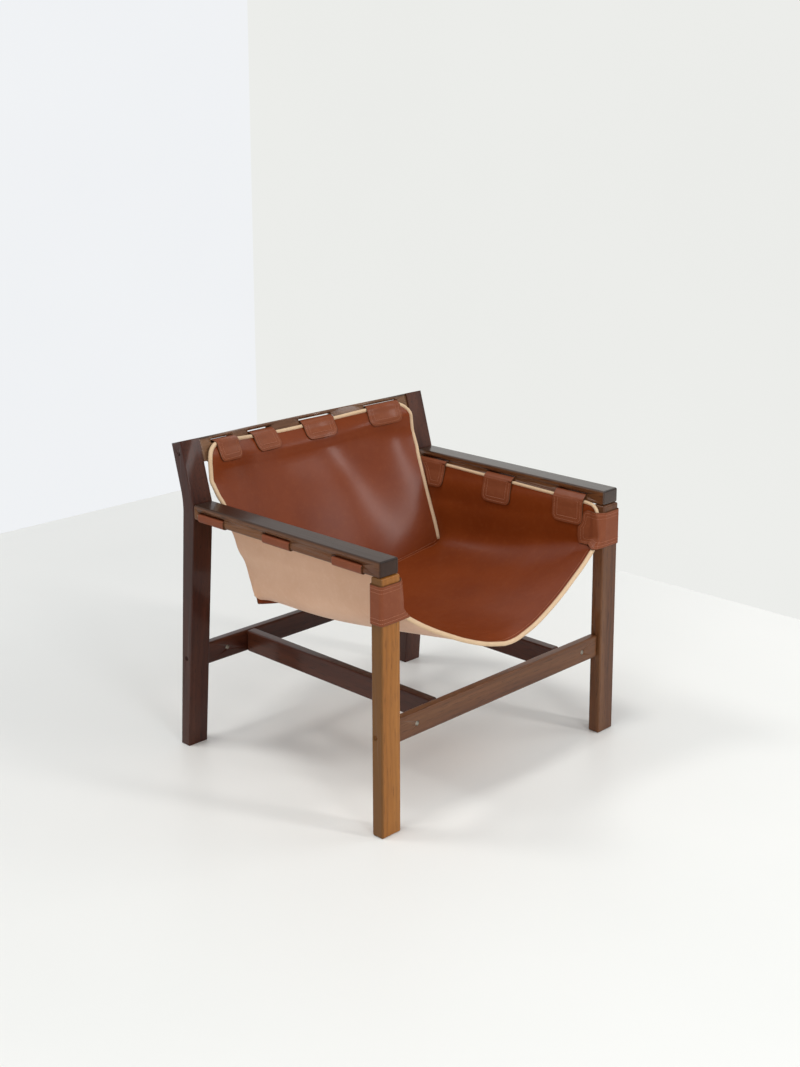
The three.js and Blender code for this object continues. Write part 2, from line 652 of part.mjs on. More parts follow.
// Back sheet. Its side edge runs from the top corner down to the end of the seam:
// shares inwards, forward and down.
const backFaceBack = -(backPipingRadius + seatGap + slantRoom);
const backTopSide = railCorner.clone()
  .addScaledVector(railDown, backTopDrop).addScaledVector(railBack, backFaceBack);
const backEdgeShares = [
  [0, 0, 0], [0, 0.105, 0.085], [0, 0.119, 0.13], [-0.03, 0.136, 0.217], [-0.06, 0.152, 0.25],
  [0, 0.196, 0.283], [0.13, 0.283, 0.349], [0.28, 0.33, 0.382], [0.65, 0.547, 0.547], [0.9, 0.74, 0.719],
  [1.09, 0.9, 0.878], [1, 1, 1],
];
const backEdge = new THREE.CatmullRomCurve3(backEdgeShares.map(([x, y, z]) => (
  at(backHalf - x * (backHalf - seamHalfWidth), backTopSide.y - y * (backTopSide.y - seamEndY),
    backTopSide.z - z * (backTopSide.z - seamEndZ)))), false, 'centripetal');
const backEdgeLength = backEdge.getLength();

const topSagAt = (x) => backTopSag * Math.max(0, 1 - (x / backHalf) ** 2) ** backTopPower;

const cornerDropAt = (x) => {
  const past = Math.max(0, Math.abs(x) - backHalf + backCornerRadius);
  return backCornerRadius - Math.sqrt(Math.max(0, backCornerRadius ** 2 - past ** 2));
};

function backPlace(across, along) {
  const reach = Math.min(1, along);
  const edge = backEdge.getPointAt(reach);
  const below = Math.max(0, Math.min(backCornerRadius, reach * backEdgeLength));
  const cornerCut = cornerDropAt(backHalf - below);
  const outer = Math.max(0, Math.abs(across) - cornerStartShare) / (1 - cornerStartShare);
  const x = across * edge.x - Math.sign(across) * cornerCut * outer;
  const topBow = railBack.clone().multiplyScalar(bowAt(x)).addScaledVector(railDown, topSagAt(x));
  const seamShape = 1 - (x / seamHalfWidth) ** 2;
  const lowBow = at(0, seamBow * seamShape, -seamDip * seamShape);
  return at(x, edge.y, edge.z).add(topBow.lerp(lowBow, reach ** backBowPower));
}
const backRowShares = [0, 0.03, 0.06, 0.1, 0.15, 0.2, 0.27, 0.35, 0.44, 0.54, 0.64, 0.75, 0.87, 1];
const backColumns = mirroredShares(bowStationShares);
const backGrid = drawBack(makeGrid(backColumns, backRowShares, backPlace),
  backColumns.map(() => backPipingRadius + seatGap + tongueGap), 0);
const sideRoom = backPipingRadius + seatGap + tongueGap;
[backGrid, [...backGrid].reverse()].forEach((grid) => {
  grid[0].forEach((place, j) => place.copy(towards(place, grid[1][j], sideRoom)));
});
backGrid.forEach((column) => {
  const above = column[column.length - 2];
  const seam = column[column.length - 1];
  column.push(towards(seam, above, -seamAllowance));
});

// Piping along the edges of both sheets
function edgeRun(from, to, count) {
  return Array.from({ length: count + 1 }, (_, i) => frontEdge.getPointAt(from + (to - from) * i / count));
}
const pipingEndShare = pipingEndGap / frontEdge.getLength();
const mirrored = (place) => at(-place.x, place.y, place.z);
const frontHalfRun = edgeRun(bandReach + pipingEndShare, 1, frontRunSteps);
const frontRun = [...frontHalfRun.map(mirrored), ...frontHalfRun.slice(0, -1).reverse()];
const sideRun = [
  ...Array.from({ length: sideRunSteps }, (_, i) => seatPlace(1, 1 - i / sideRunSteps)),
  ...edgeRun(0, bandReach - pipingEndShare, cornerRunSteps),
];
const backSideRun = Array.from({ length: backRunSteps + 1 }, (_, i) => (
  backPlace(1, (1 - seamRoom / backEdgeLength) * (1 - i / backRunSteps) ** 2)));
const backTopRun = mirroredShares(bowStationShares).slice(1, -1).reverse().map((share) => backPlace(share, 0));
const backRun = [...backSideRun, ...backTopRun, ...backSideRun.map(mirrored).reverse()];
const pipings = [
  ['seat_piping_left', sideRun.map(mirrored), sidePipingRadius, 18],
  ['seat_piping_right', sideRun, sidePipingRadius, 18],
  ['seat_piping_front', frontRun, frontPipingRadius, 36],
  ['back_piping', backRun, backPipingRadius, 60],
];

let seat = toSolid(slab(seatGrid, sheetThickness));
let back = toSolid(slab(backGrid, sheetThickness));
for (const [name, run, radius, steps] of pipings) {
  const room = toSolid(tube(run, radius + seatGap, steps));
  if (name === 'back_piping') back = back.subtract(room);
  else seat = seat.subtract(room);
  addPiece(name, toGeometry(toSolid(tube(run, radius, steps))), cream);
}
const seatMesh = addPiece('seat_sheet', toGeometry(largestBody(seat)), leather);
const backMesh = addPiece('back_sheet', toGeometry(largestBody(back)), leather);

// The nearest place on a sheet along a straight look
const looker = new THREE.Raycaster();
const twoSided = new THREE.MeshBasicMaterial({ side: THREE.DoubleSide });
const seatTarget = new THREE.Mesh(seatMesh.geometry, twoSided);
const backTarget = new THREE.Mesh(backMesh.geometry, twoSided);
function lookAlong(target, from, direction) {
  looker.set(from, direction);
  const hits = looker.intersectObject(target);
  return hits.length ? hits[0].point : null;
}

// The half width of a tongue at a distance from its rounded end
const tongueHalf = (width, distance) => {
  const inside = Math.max(0, tongueCorner - distance);
  return width / 2 - (tongueCorner - Math.sqrt(tongueCorner ** 2 - inside ** 2));
};
const tongueShares = [0, 0.03, 0.09, 0.2, 0.36, 0.57, 0.79];
const lift = seatGap + strapThickness / 2;

// The way of a strap round a cord: from the inner side of the cord over it, until it leaves for the mouth
function overCord(centre, inward, over, radius, mouth) {
  const reach = mouth.clone().sub(centre);
  const towardsMouth = reach.dot(inward);
  const aboveCord = reach.dot(over);
  const distance = Math.max(radius, Math.hypot(towardsMouth, aboveCord));
  const leave = Math.atan2(aboveCord, towardsMouth) + Math.acos(radius / distance);
  return Array.from({ length: cordSteps + 1 }, (_, i) => {
    const angle = Math.PI + (leave - Math.PI) * i / cordSteps;
    return centre.clone().addScaledVector(inward, radius * Math.cos(angle))
      .addScaledVector(over, radius * Math.sin(angle));
  });
}

// A strap's way through corners, each rounded by its own radius
function roundCorners(start, corners, end) {
  const way = [start];
  corners.forEach(([corner, radius], index) => {
    const next = index + 1 < corners.length ? corners[index + 1][0] : end;
    const before = (index > 0 ? corners[index - 1][0] : start).clone().sub(corner).normalize();
    const after = next.clone().sub(corner).normalize();
    const half = Math.acos(before.dot(after)) / 2;
    const middle = before.clone().add(after).normalize();
    const centre = corner.clone().addScaledVector(middle, radius / Math.sin(half));
    const first = corner.clone().addScaledVector(before, radius / Math.tan(half)).sub(centre);
    const last = corner.clone().addScaledVector(after, radius / Math.tan(half)).sub(centre);
    const sweep = first.angleTo(last);
    for (let i = 0; i <= bendSteps; i += 1) {
      const share = i / bendSteps;
      way.push(first.clone().multiplyScalar(Math.sin((1 - share) * sweep) / Math.sin(sweep))
        .addScaledVector(last, Math.sin(share * sweep) / Math.sin(sweep)).add(centre));
    }
  });
  way.push(end);
  return way;
}

// The height and inward place of the seat sheet's top edge at a distance from the front
function seatEdgeAt(y) {
  const front = seatPlace(1, 0);
  const rear = seatPlace(1, 1);
  return front.clone().lerp(rear, (y - front.y) / (rear.y - front.y));
}

// How far back the seat sheet reaches at a height, next to the arm
function seatBackLimit(z) {
  return rearEdge.getPointAt(reachWhere(rearEdge, (place) => place.z < z)).y - tongueMargin;
}

// Arm straps: a rounded tongue on the inside of the seat sheet, over the piping, out through the
// slot, down over the outer lower half of the arm and back in under it
const armSlotMiddle = armSlotBottom + lift;
const armStrapLow = legHeight - lift;
for (const [name, side] of sides) {
  armStrapPlaces.forEach((place, index) => {
    const stations = [-1, 0, 1];
    const grid = stations.map((station) => {
      const edgeMiddle = seatEdgeAt(place + station * armStrapWidth / 2);
      const over = sidePipingRadius + lift;
      const run = [];
      tongueShares.forEach((share) => {
        const z = edgeMiddle.z - armTongueLength * (1 - share);
        const spread = tongueHalf(armStrapWidth, share * armTongueLength);
        const y = Math.min(place + station * spread, seatBackLimit(z));
        const hit = lookAlong(seatTarget, at(0, y, z), at(side, 0, 0));
        run.push(at(hit.x - side * (lift + tongueGap), y, z));
      });
      const y = place + station * armStrapWidth / 2;
      const cord = at(side * edgeMiddle.x, y, edgeMiddle.z);
      const clear = sidePipingRadius + lift + slantRoom;
      const mouthRise = Math.sqrt(clear ** 2 - (armInner - edgeMiddle.x) ** 2);
      const mouth = at(side * armInner, y, Math.max(armSlotMiddle + mouthLift, edgeMiddle.z + mouthRise));
      run.push(...overCord(cord, at(side, 0, 0), at(0, 0, 1), clear, mouth));
      run.push(...roundCorners(mouth, [
        [at(side * (halfWidth + lift), y, armSlotMiddle), lift],
        [at(side * (halfWidth + lift), y, armStrapLow), edgeRadius + lift],
      ], at(side * (armInner + edgeRadius), y, armStrapLow)));
      return run;
    });
    addPiece(`arm_strap_${name}_${index + 1}`, slab(grid, strapThickness), leather);
  });
}

// Back straps: the same loop round the lower part of the bowed back rail, each square to the rail's
// face at its own place on the bow
const backSlotMiddle = backSlotDrop + slotHeight - lift;
const railLow = backRailHeight + lift;
backStrapPlaces.forEach((place, index) => {
  const { normal, depthAt, pointAt } = strapFrame(place);
  const grid = strapStations.map((station) => {
    const side = station * backStrapWidth / 2;
    const cord = pointAt(side, 0, depthAt(side, backFaceBack));
    const drop = backTopDrop + topSagAt(cord.x) + cornerDropAt(cord.x) / 2;
    const run = [];
    tongueShares.forEach((share) => {
      const length = share * (backTongueReach - drop);
      const spread = station * tongueHalf(backStrapWidth, length);
      const hit = lookAlong(backTarget, pointAt(spread, backTongueReach - length, -backLookLength), normal);
      run.push(hit.addScaledVector(normal, -lift - tongueGap));
    });
    const face = depthAt(side);
    const behind = depthAt(side, backRailThickness) + lift + slantRoom / 2;
    const rear = lookAlong(backTarget, pointAt(side, railLow, backLookLength), normal.clone().negate());
    const mouth = pointAt(side, backSlotMiddle, face);
    run.push(...overCord(cord.addScaledVector(railDown, drop), normal, railDown.clone().negate(),
      backPipingRadius + lift + slantRoom, mouth));
    run.push(...roundCorners(mouth, [
      [pointAt(side, backSlotMiddle, behind), lift],
      [pointAt(side, railLow, behind), backRailEdgeRadius + lift],
    ], rear.addScaledVector(normal, seatGap + slantRoom)));
    return run;
  });
  addPiece(`back_strap_${index + 1}`, slab(grid, strapThickness), leather);
});

// Leg bands: a tongue on the inside of the seat sheet, over its front piping, round the front leg
// and back in between the leg and the sheet
const bandLow = legHeight - bandTopDrop - bandHeight;
function frontEdgeAt(z) {
  const reach = reachWhere(frontEdge, (place) => place.z < z);
  return [frontEdge.getPointAt(reach), Math.abs(frontEdge.getTangentAt(reach).z)];
}

// How far back the band's tongue reaches at each share of the band's height
const bandEndShares = [[0, 0.86], [0.12, 0.97], [0.3, 1], [0.46, 0.95], [0.62, 0.77], [0.85, 0.72], [1, 0.62]];
for (const [name, side] of sides) {
  const grid = bandEndShares.map(([heightShare, endShare]) => {
    const z = bandLow + bandHeight * heightShare;
    const [edge, slope] = frontEdgeAt(z);
    const clear = (frontPipingRadius + slantRoom) / slope + lift + slantRoom;
    const run = [];
    tongueShares.forEach((share) => {
      const y = edge.y + clear + (bandTongueLength * endShare - edge.y - clear) * (1 - share);
      const hit = lookAlong(seatTarget, at(0, y, z), at(side, 0, 0));
      run.push(at(hit.x - side * (lift + tongueGap), y, z));
    });
    const start = at(side * (legInner + edgeRadius), -lift, z);
    run.push(...overCord(at(side * edge.x, edge.y, z), at(side, 0, 0), at(0, -1, 0), clear, start));
    run.push(...roundCorners(start, [
      [at(side * (halfWidth + lift), -lift, z), edgeRadius + lift],
      [at(side * (halfWidth + lift), legDepth + lift, z), edgeRadius + lift],
      [at(side * (legInner - lift), legDepth + lift, z), edgeRadius + lift],
    ], at(side * (legInner - lift), legDepth - bandSideLength, z)));
    return run;
  });
  addPiece(`leg_band_${name}`, slab(grid, strapThickness), leather);
}

// Stand the chair on the floor with the origin under the middle of its box
const box = new THREE.Box3().setFromObject(chair);
chair.position.set(-(box.min.x + box.max.x) / 2, -(box.min.y + box.max.y) / 2, -box.min.z);
chair.updateMatrixWorld(true);

export default chair;
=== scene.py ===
"""Looks of the sling lounge chair: a dark rosewood frame, two chestnut leather sheets hung in it by
leather straps, cream piping along the sheets' edges, and steel fittings. Metres, +Z up, in the frame
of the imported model. The near side of the picture is the chair's left, towards -X."""
import json
import bpy
import numpy as np
from mathutils import Matrix, Vector
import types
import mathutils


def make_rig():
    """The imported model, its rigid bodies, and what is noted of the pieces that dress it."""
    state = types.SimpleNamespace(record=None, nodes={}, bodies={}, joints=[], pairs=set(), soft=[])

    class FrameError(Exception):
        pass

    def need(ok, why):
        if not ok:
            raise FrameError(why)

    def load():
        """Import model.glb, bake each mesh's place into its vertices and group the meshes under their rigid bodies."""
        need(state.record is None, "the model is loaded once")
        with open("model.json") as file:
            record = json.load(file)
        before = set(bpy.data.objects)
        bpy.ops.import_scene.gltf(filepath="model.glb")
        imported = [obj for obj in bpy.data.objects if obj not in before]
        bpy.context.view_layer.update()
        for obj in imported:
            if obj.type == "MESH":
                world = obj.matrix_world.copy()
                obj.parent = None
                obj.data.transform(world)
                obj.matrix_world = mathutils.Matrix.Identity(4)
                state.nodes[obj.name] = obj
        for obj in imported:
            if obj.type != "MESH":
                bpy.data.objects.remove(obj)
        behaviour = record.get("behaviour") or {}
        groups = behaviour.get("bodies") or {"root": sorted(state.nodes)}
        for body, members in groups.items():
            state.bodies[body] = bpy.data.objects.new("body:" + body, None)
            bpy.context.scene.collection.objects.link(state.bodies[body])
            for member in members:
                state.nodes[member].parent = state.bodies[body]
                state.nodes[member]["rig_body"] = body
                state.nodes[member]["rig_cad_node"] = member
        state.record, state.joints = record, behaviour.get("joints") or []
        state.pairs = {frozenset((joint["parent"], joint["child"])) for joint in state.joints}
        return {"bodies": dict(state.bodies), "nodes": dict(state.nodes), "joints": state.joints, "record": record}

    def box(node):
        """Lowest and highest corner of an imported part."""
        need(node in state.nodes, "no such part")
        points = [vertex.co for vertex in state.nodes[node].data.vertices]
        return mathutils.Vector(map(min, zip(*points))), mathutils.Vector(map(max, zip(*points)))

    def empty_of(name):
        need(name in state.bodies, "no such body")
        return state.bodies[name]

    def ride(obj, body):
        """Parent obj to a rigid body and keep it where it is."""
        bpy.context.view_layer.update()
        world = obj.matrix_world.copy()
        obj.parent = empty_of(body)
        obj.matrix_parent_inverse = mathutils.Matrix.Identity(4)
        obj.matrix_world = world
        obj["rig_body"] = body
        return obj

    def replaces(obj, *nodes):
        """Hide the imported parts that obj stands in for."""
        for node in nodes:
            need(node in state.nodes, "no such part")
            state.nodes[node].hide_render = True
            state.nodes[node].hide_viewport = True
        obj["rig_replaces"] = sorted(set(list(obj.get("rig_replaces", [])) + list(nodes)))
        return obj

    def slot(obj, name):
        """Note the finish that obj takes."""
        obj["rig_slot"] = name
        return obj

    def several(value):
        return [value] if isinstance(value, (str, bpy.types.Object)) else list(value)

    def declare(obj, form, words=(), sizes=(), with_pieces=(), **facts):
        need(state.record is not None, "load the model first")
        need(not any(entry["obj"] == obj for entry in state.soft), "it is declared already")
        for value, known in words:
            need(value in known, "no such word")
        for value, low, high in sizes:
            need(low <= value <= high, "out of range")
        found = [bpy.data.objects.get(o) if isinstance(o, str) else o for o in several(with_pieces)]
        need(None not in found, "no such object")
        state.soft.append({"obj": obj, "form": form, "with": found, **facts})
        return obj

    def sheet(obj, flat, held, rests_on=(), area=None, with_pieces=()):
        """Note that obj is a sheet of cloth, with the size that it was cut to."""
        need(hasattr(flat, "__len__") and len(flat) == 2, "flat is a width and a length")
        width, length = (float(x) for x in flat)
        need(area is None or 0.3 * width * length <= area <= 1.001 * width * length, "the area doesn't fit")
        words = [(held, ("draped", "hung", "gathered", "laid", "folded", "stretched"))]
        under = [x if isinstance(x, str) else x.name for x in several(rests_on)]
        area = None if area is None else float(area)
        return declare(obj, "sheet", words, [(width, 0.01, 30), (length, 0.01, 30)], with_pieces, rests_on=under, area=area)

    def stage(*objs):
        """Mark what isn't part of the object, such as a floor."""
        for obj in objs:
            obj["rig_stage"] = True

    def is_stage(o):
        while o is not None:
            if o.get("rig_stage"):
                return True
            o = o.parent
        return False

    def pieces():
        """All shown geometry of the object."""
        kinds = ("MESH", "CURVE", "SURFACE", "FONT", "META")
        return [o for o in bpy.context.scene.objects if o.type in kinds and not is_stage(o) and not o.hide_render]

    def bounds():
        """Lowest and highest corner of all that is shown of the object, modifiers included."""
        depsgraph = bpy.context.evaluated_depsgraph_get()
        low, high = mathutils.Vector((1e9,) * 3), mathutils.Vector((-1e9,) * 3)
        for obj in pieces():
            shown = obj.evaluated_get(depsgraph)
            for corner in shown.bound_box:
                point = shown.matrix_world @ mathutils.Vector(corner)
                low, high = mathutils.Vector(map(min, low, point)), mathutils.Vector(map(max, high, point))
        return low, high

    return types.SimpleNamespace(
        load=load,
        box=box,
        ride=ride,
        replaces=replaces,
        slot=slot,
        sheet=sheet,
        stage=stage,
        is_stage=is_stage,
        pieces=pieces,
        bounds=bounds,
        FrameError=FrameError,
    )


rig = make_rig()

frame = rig.load()
cad_box = [list(corner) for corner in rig.bounds()]


# Room
# The corner of a white room: a pale glossy floor, a wall behind the chair and one on its right. Daylight
# falls from nearly overhead, weaker light from behind on the left, and soft light from windows in front.
def node(tree, kind, inputs=None, **settings):
    """A shader node with its settings, its plain inputs set and its linked inputs joined."""
    made = tree.nodes.new(kind)
    for key, value in settings.items():
        setattr(made, key, value)
    for key, value in (inputs or {}).items():
        if isinstance(value, bpy.types.NodeSocket):
            tree.links.new(value, made.inputs[key])
        else:
            made.inputs[key].default_value = value
    return made


def noise(tree, where, scale, detail, roughness=0.5, distortion=0.0):
    """A cloud noise from 0 to 1 over places."""
    return node(tree, "ShaderNodeTexNoise", {
        "Vector": where, "Scale": scale, "Detail": detail, "Roughness": roughness,
        "Distortion": distortion}).outputs["Fac"]


def mixed(tree, share, one, two):
    """The colour at a share of the way from one to the other."""
    return node(tree, "ShaderNodeMix", {0: share, 6: one, 7: two}, data_type="RGBA").outputs[2]


def where_seen(tree, unseen, seen):
    """One surface for the camera and for glossy rays, and another for all other light."""
    ray = node(tree, "ShaderNodeLightPath").outputs
    direct = node(tree, "ShaderNodeMath", {0: ray["Is Camera Ray"], 1: ray["Is Glossy Ray"]},
                  operation="MAXIMUM")
    return node(tree, "ShaderNodeMixShader", {0: direct.outputs[0], 1: unseen, 2: seen}).outputs[0]


def blank_material(name):
    """A material with an empty node tree, and the tree."""
    made = bpy.data.materials.new(name)
    made.use_nodes = True
    made.node_tree.nodes.clear()
    return made, made.node_tree


def paint(red, green, blue):
    """A colour given by its screen values from 0 to 255, turned into light."""
    share = np.array([red, green, blue]) / 255
    linear = np.where(share < 0.04045, share / 12.92, ((share + 0.055) / 1.055) ** 2.4)
    return (*[float(value) for value in linear], 1.0)


def mesh_piece(name, points, faces, materials=(), face_materials=None, smooth=True):
    """A mesh object from places and faces, with its materials and the one that each face has."""
    mesh = bpy.data.meshes.new(name)
    mesh.from_pydata(points, [], faces)
    for material in materials:
        mesh.materials.append(material)
    if face_materials is not None:
        mesh.polygons.foreach_set("material_index", np.asarray(face_materials, dtype=np.int32))
    mesh.polygons.foreach_set("use_smooth", np.full(len(mesh.polygons), smooth))
    piece = bpy.data.objects.new(name, mesh)
    bpy.context.scene.collection.objects.link(piece)
    return piece


scene = bpy.context.scene
scene.view_settings.view_transform = "Standard"
world = bpy.data.worlds.new("room")
scene.world = world
world.use_nodes = True
sky = world.node_tree
sky.nodes.clear()
room_light = node(sky, "ShaderNodeBackground", {"Color": paint(232, 236, 242), "Strength": 0.55})
room_seen = node(sky, "ShaderNodeBackground", {"Color": paint(205, 207, 206), "Strength": 0.5})
node(sky, "ShaderNodeOutputWorld", {"Surface": where_seen(sky, room_light.outputs[0], room_seen.outputs[0])})


def pale_paint(name, low, high, roughness, glow=0.0):
    """Matt or glossy paint between two tones. With a glow, the camera and glossy rays see the paint at
    its own colour, and all other light passes through it."""
    made, tree = blank_material(name)
    where = node(tree, "ShaderNodeTexCoord").outputs["Object"]
    tone = mixed(tree, noise(tree, where, 1.3, 4.0), paint(*low), paint(*high))
    surface = node(tree, "ShaderNodeBsdfPrincipled", {"Base Color": tone, "Roughness": roughness}).outputs[0]
    if glow:
        shown = node(tree, "ShaderNodeEmission", {"Color": tone, "Strength": glow})
        surface = where_seen(tree, node(tree, "ShaderNodeBsdfTransparent").outputs[0], shown.outputs[0])
    node(tree, "ShaderNodeOutputMaterial", {"Surface": surface})
    return made


floor_paint = pale_paint("floor_paint", (228, 228, 223), (236, 235, 230), 0.42)
back_paint = pale_paint("back_wall_paint", (238, 240, 243), (242, 244, 246), 0.8, 1.0)
side_paint = pale_paint("side_wall_paint", (234, 235, 232), (238, 239, 236), 0.8, 1.0)
wall_x, wall_y, wall_end, wall_top, far = 1.22, 1.875, -0.8, 3.2, -12
for name, corners, finish in [
        ("floor", [(far, far, 0), (wall_x, far, 0), (wall_x, wall_y, 0), (far, wall_y, 0)], floor_paint),
        ("back_wall", [(wall_x, wall_y, 0), (wall_x, wall_y, wall_top), (far, wall_y, wall_top),
                       (far, wall_y, 0)], back_paint),
        ("side_wall", [(wall_x, wall_end, 0), (wall_x, wall_end, wall_top), (wall_x, wall_y, wall_top),
                       (wall_x, wall_y, 0)], side_paint),
        ("floor_beside", [(wall_x, far, 0), (6, far, 0), (6, wall_end, 0), (wall_x, wall_end, 0)],
         floor_paint)]:
    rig.stage(mesh_piece(name, np.array(corners, float), np.array([[0, 1, 2, 3]]), [finish], smooth=False))


def light(name, kind, place, aim, power, **settings):
    """A light of one kind at a place, turned towards another place."""
    lamp = bpy.data.lights.new(name, kind)
    lamp.energy = power
    for key, value in settings.items():
        setattr(lamp, key, value)
    made = bpy.data.objects.new(name, lamp)
    scene.collection.objects.link(made)
    made.location = place
    made.rotation_euler = (Vector(aim) - Vector(place)).to_track_quat("-Z", "Y").to_euler()


light("daylight", "SUN", (0, 0, 0), (0.22, -0.02, -1), 0.75, angle=np.radians(10))
light("window_light", "SUN", (0, 0, 0), (0.47, -0.59, -1), 0.55, angle=np.radians(14))
for name, place, aim, wide, high, power, colour in [
        ("front_window", (1.95, -5.6, 4.2), (0.15, 0.2, 0.5), 0.7, 3.0, 112, (1.0, 0.98, 0.98)),
        ("corner_window", (2.6, -2.2, 2.7), (0.0, 0.1, 0.5), 1.5, 1.2, 20, (0.97, 0.99, 1.0)),
        ("camera_window", (-1.9, -6.0, 3.4), (0, 0, 0.4), 1.5, 1.7, 85, (0.97, 0.98, 1.0)),
        ("left_window", (-4.4, -2.4, 1.9), (0, 0, 0.4), 2.2, 2.2, 48, (1.0, 0.99, 0.98))]:
    light(name, "AREA", place, aim, power, color=colour, shape="RECTANGLE", size=wide, size_y=high)

# The camera stands where the photograph was taken from, fitted to the square corners of the frame,
# with the frame's own small upward shift.
azimuth, elevation, roll = np.radians([-45.4013, 12.2638, -0.1730])
back = Vector((np.sin(azimuth) * np.cos(elevation), -np.cos(azimuth) * np.cos(elevation), np.sin(elevation)))
across = Vector((np.cos(azimuth), np.sin(azimuth), 0))
above = back.cross(across)
right = np.cos(roll) * across + np.sin(roll) * above
up = -np.sin(roll) * across + np.cos(roll) * above
leg_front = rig.box("front_leg_left")[0].y
eye = Vector((0, leg_front + 0.3, 0.728615)) + across * 0.0024315 + back * 3.14367
camera = bpy.data.objects.new("camera", bpy.data.cameras.new("camera"))
scene.collection.objects.link(camera)
picture_width, focal_length, shifted = 1067, 1540.3044, 131.15
camera.data.sensor_width = 36
camera.data.lens = 36 * focal_length / picture_width
camera.data.shift_y = -shifted / picture_width
camera.data.clip_start, camera.data.clip_end = 0.05, 120
camera.matrix_world = Matrix.Translation(eye) @ Matrix((right, up, back)).transposed().to_4x4()
scene.camera = camera


# Wooden frame
# Front legs, back posts, arms, stretchers, long rails and the bowed back rail are planed from solid
# rosewood, eased along the edges, mortised together and varnished. The near front leg is paler. Painted
# shade darkens the arms' tops and front ends, the back rail's top and the near front leg's outer face.
def ranged(tree, value, low=0.0, high=1.0, to_low=0.0, to_high=1.0):
    """A value moved from one range to another, and held inside it."""
    return node(tree, "ShaderNodeMapRange", {
        "Value": value, "From Min": low, "From Max": high, "To Min": to_low, "To Max": to_high}).outputs[0]


def finish_group(name, inputs):
    """A node group that gives a colour, a roughness and a height, and the outputs of its input node."""
    made = bpy.data.node_groups.new(name, "ShaderNodeTree")
    results = [("Color", "Color"), ("Roughness", "Float"), ("Height", "Float")]
    for way, sockets in [("INPUT", inputs), ("OUTPUT", results)]:
        for socket, kind in sockets:
            made.interface.new_socket(socket, in_out=way, socket_type="NodeSocket" + kind)
    return made, node(made, "NodeGroupInput").outputs


def principled(tree, inputs):
    """The surface of a material, from the inputs of its shader."""
    shade = node(tree, "ShaderNodeBsdfPrincipled", inputs)
    node(tree, "ShaderNodeOutputMaterial", {"Surface": shade.outputs[0]})


wood, given = finish_group("rosewood", [("Vector", "Vector"), ("Dark", "Color"), ("Middle", "Color"),
                                        ("Light", "Color")])
bent = node(wood, "ShaderNodeTexNoise", {"Vector": given["Vector"], "Scale": 3.2, "Detail": 2.0})
shift = node(wood, "ShaderNodeVectorMath", {0: bent.outputs["Color"], 1: (0.5, 0.5, 0.5)},
             operation="SUBTRACT")
moved = node(wood, "ShaderNodeVectorMath", {0: shift.outputs[0], 1: (0.02, 0.02, 0.0), 2: given["Vector"]},
             operation="MULTIPLY_ADD")
stretch = node(wood, "ShaderNodeMapping", {"Vector": moved.outputs[0], "Scale": (1, 1, 0.05)}).outputs[0]
rings = node(wood, "ShaderNodeTexWave", {"Vector": stretch, "Scale": 26.0, "Distortion": 7.0, "Detail": 3.0,
                                         "Detail Scale": 1.4, "Detail Roughness": 0.6})
streak = noise(wood, stretch, 120.0, 6.0, 0.6, 0.3)
figure = node(wood, "ShaderNodeMix", {0: 0.8, 2: rings.outputs["Fac"], 3: streak}).outputs[0]
body = mixed(wood, ranged(wood, figure, 0.22, 0.66), given["Dark"], given["Middle"])
lit = mixed(wood, ranged(wood, noise(wood, stretch, 18.0, 2.0), 0.42, 0.68), given["Middle"], given["Light"])
fibre = node(wood, "ShaderNodeMapping", {"Vector": given["Vector"], "Scale": (1, 1, 0.045)}).outputs[0]
pores = ranged(wood, noise(wood, fibre, 620.0, 1.0), 0.60, 0.70)
porous = node(wood, "ShaderNodeMath", {0: pores, 1: 0.6}, operation="MULTIPLY").outputs[0]
depth = node(wood, "ShaderNodeMath", {0: pores, 1: -1.0, 2: figure}, operation="MULTIPLY_ADD").outputs[0]
node(wood, "NodeGroupOutput", {"Color": mixed(wood, porous, mixed(wood, 0.6, body, lit), given["Dark"]),
                               "Roughness": ranged(wood, streak, to_low=0.30, to_high=0.46), "Height": depth})


def rosewood(name, turn, place, dark, middle, light, coat, painted_shade):
    """Varnished wood whose grain runs along one axis: the pattern is turned and shifted for each board.
    Painted shade darkens some faces: each entry gives an axis, the two places on it between which the darkening turns
    in, and a tone."""
    made, tree = blank_material(name)
    where = node(tree, "ShaderNodeTexCoord").outputs["Object"]
    turned = node(tree, "ShaderNodeMapping", {"Vector": where, "Rotation": turn, "Location": place})
    grain = node(tree, "ShaderNodeGroup", {
        "Vector": turned.outputs[0], "Dark": paint(*dark), "Middle": paint(*middle), "Light": paint(*light)},
        node_tree=wood).outputs
    colour = grain["Color"]
    # Painted shade: each listed face is darkened towards its tone.
    for axis, start, stop, tone in painted_shade:
        apart = node(tree, "ShaderNodeSeparateXYZ", {"Vector": where})
        colour = mixed(tree, ranged(tree, apart.outputs[axis], start, stop, 0.0, 0.75), colour, paint(*tone))
    bump = node(tree, "ShaderNodeBump", {"Height": grain["Height"], "Strength": 0.12, "Distance": 0.0006})
    principled(tree, {"Base Color": colour, "Roughness": grain["Roughness"], "Normal": bump.outputs[0],
                      "Specular IOR Level": 0.15, "Coat Weight": coat, "Coat Roughness": 0.12})
    return made


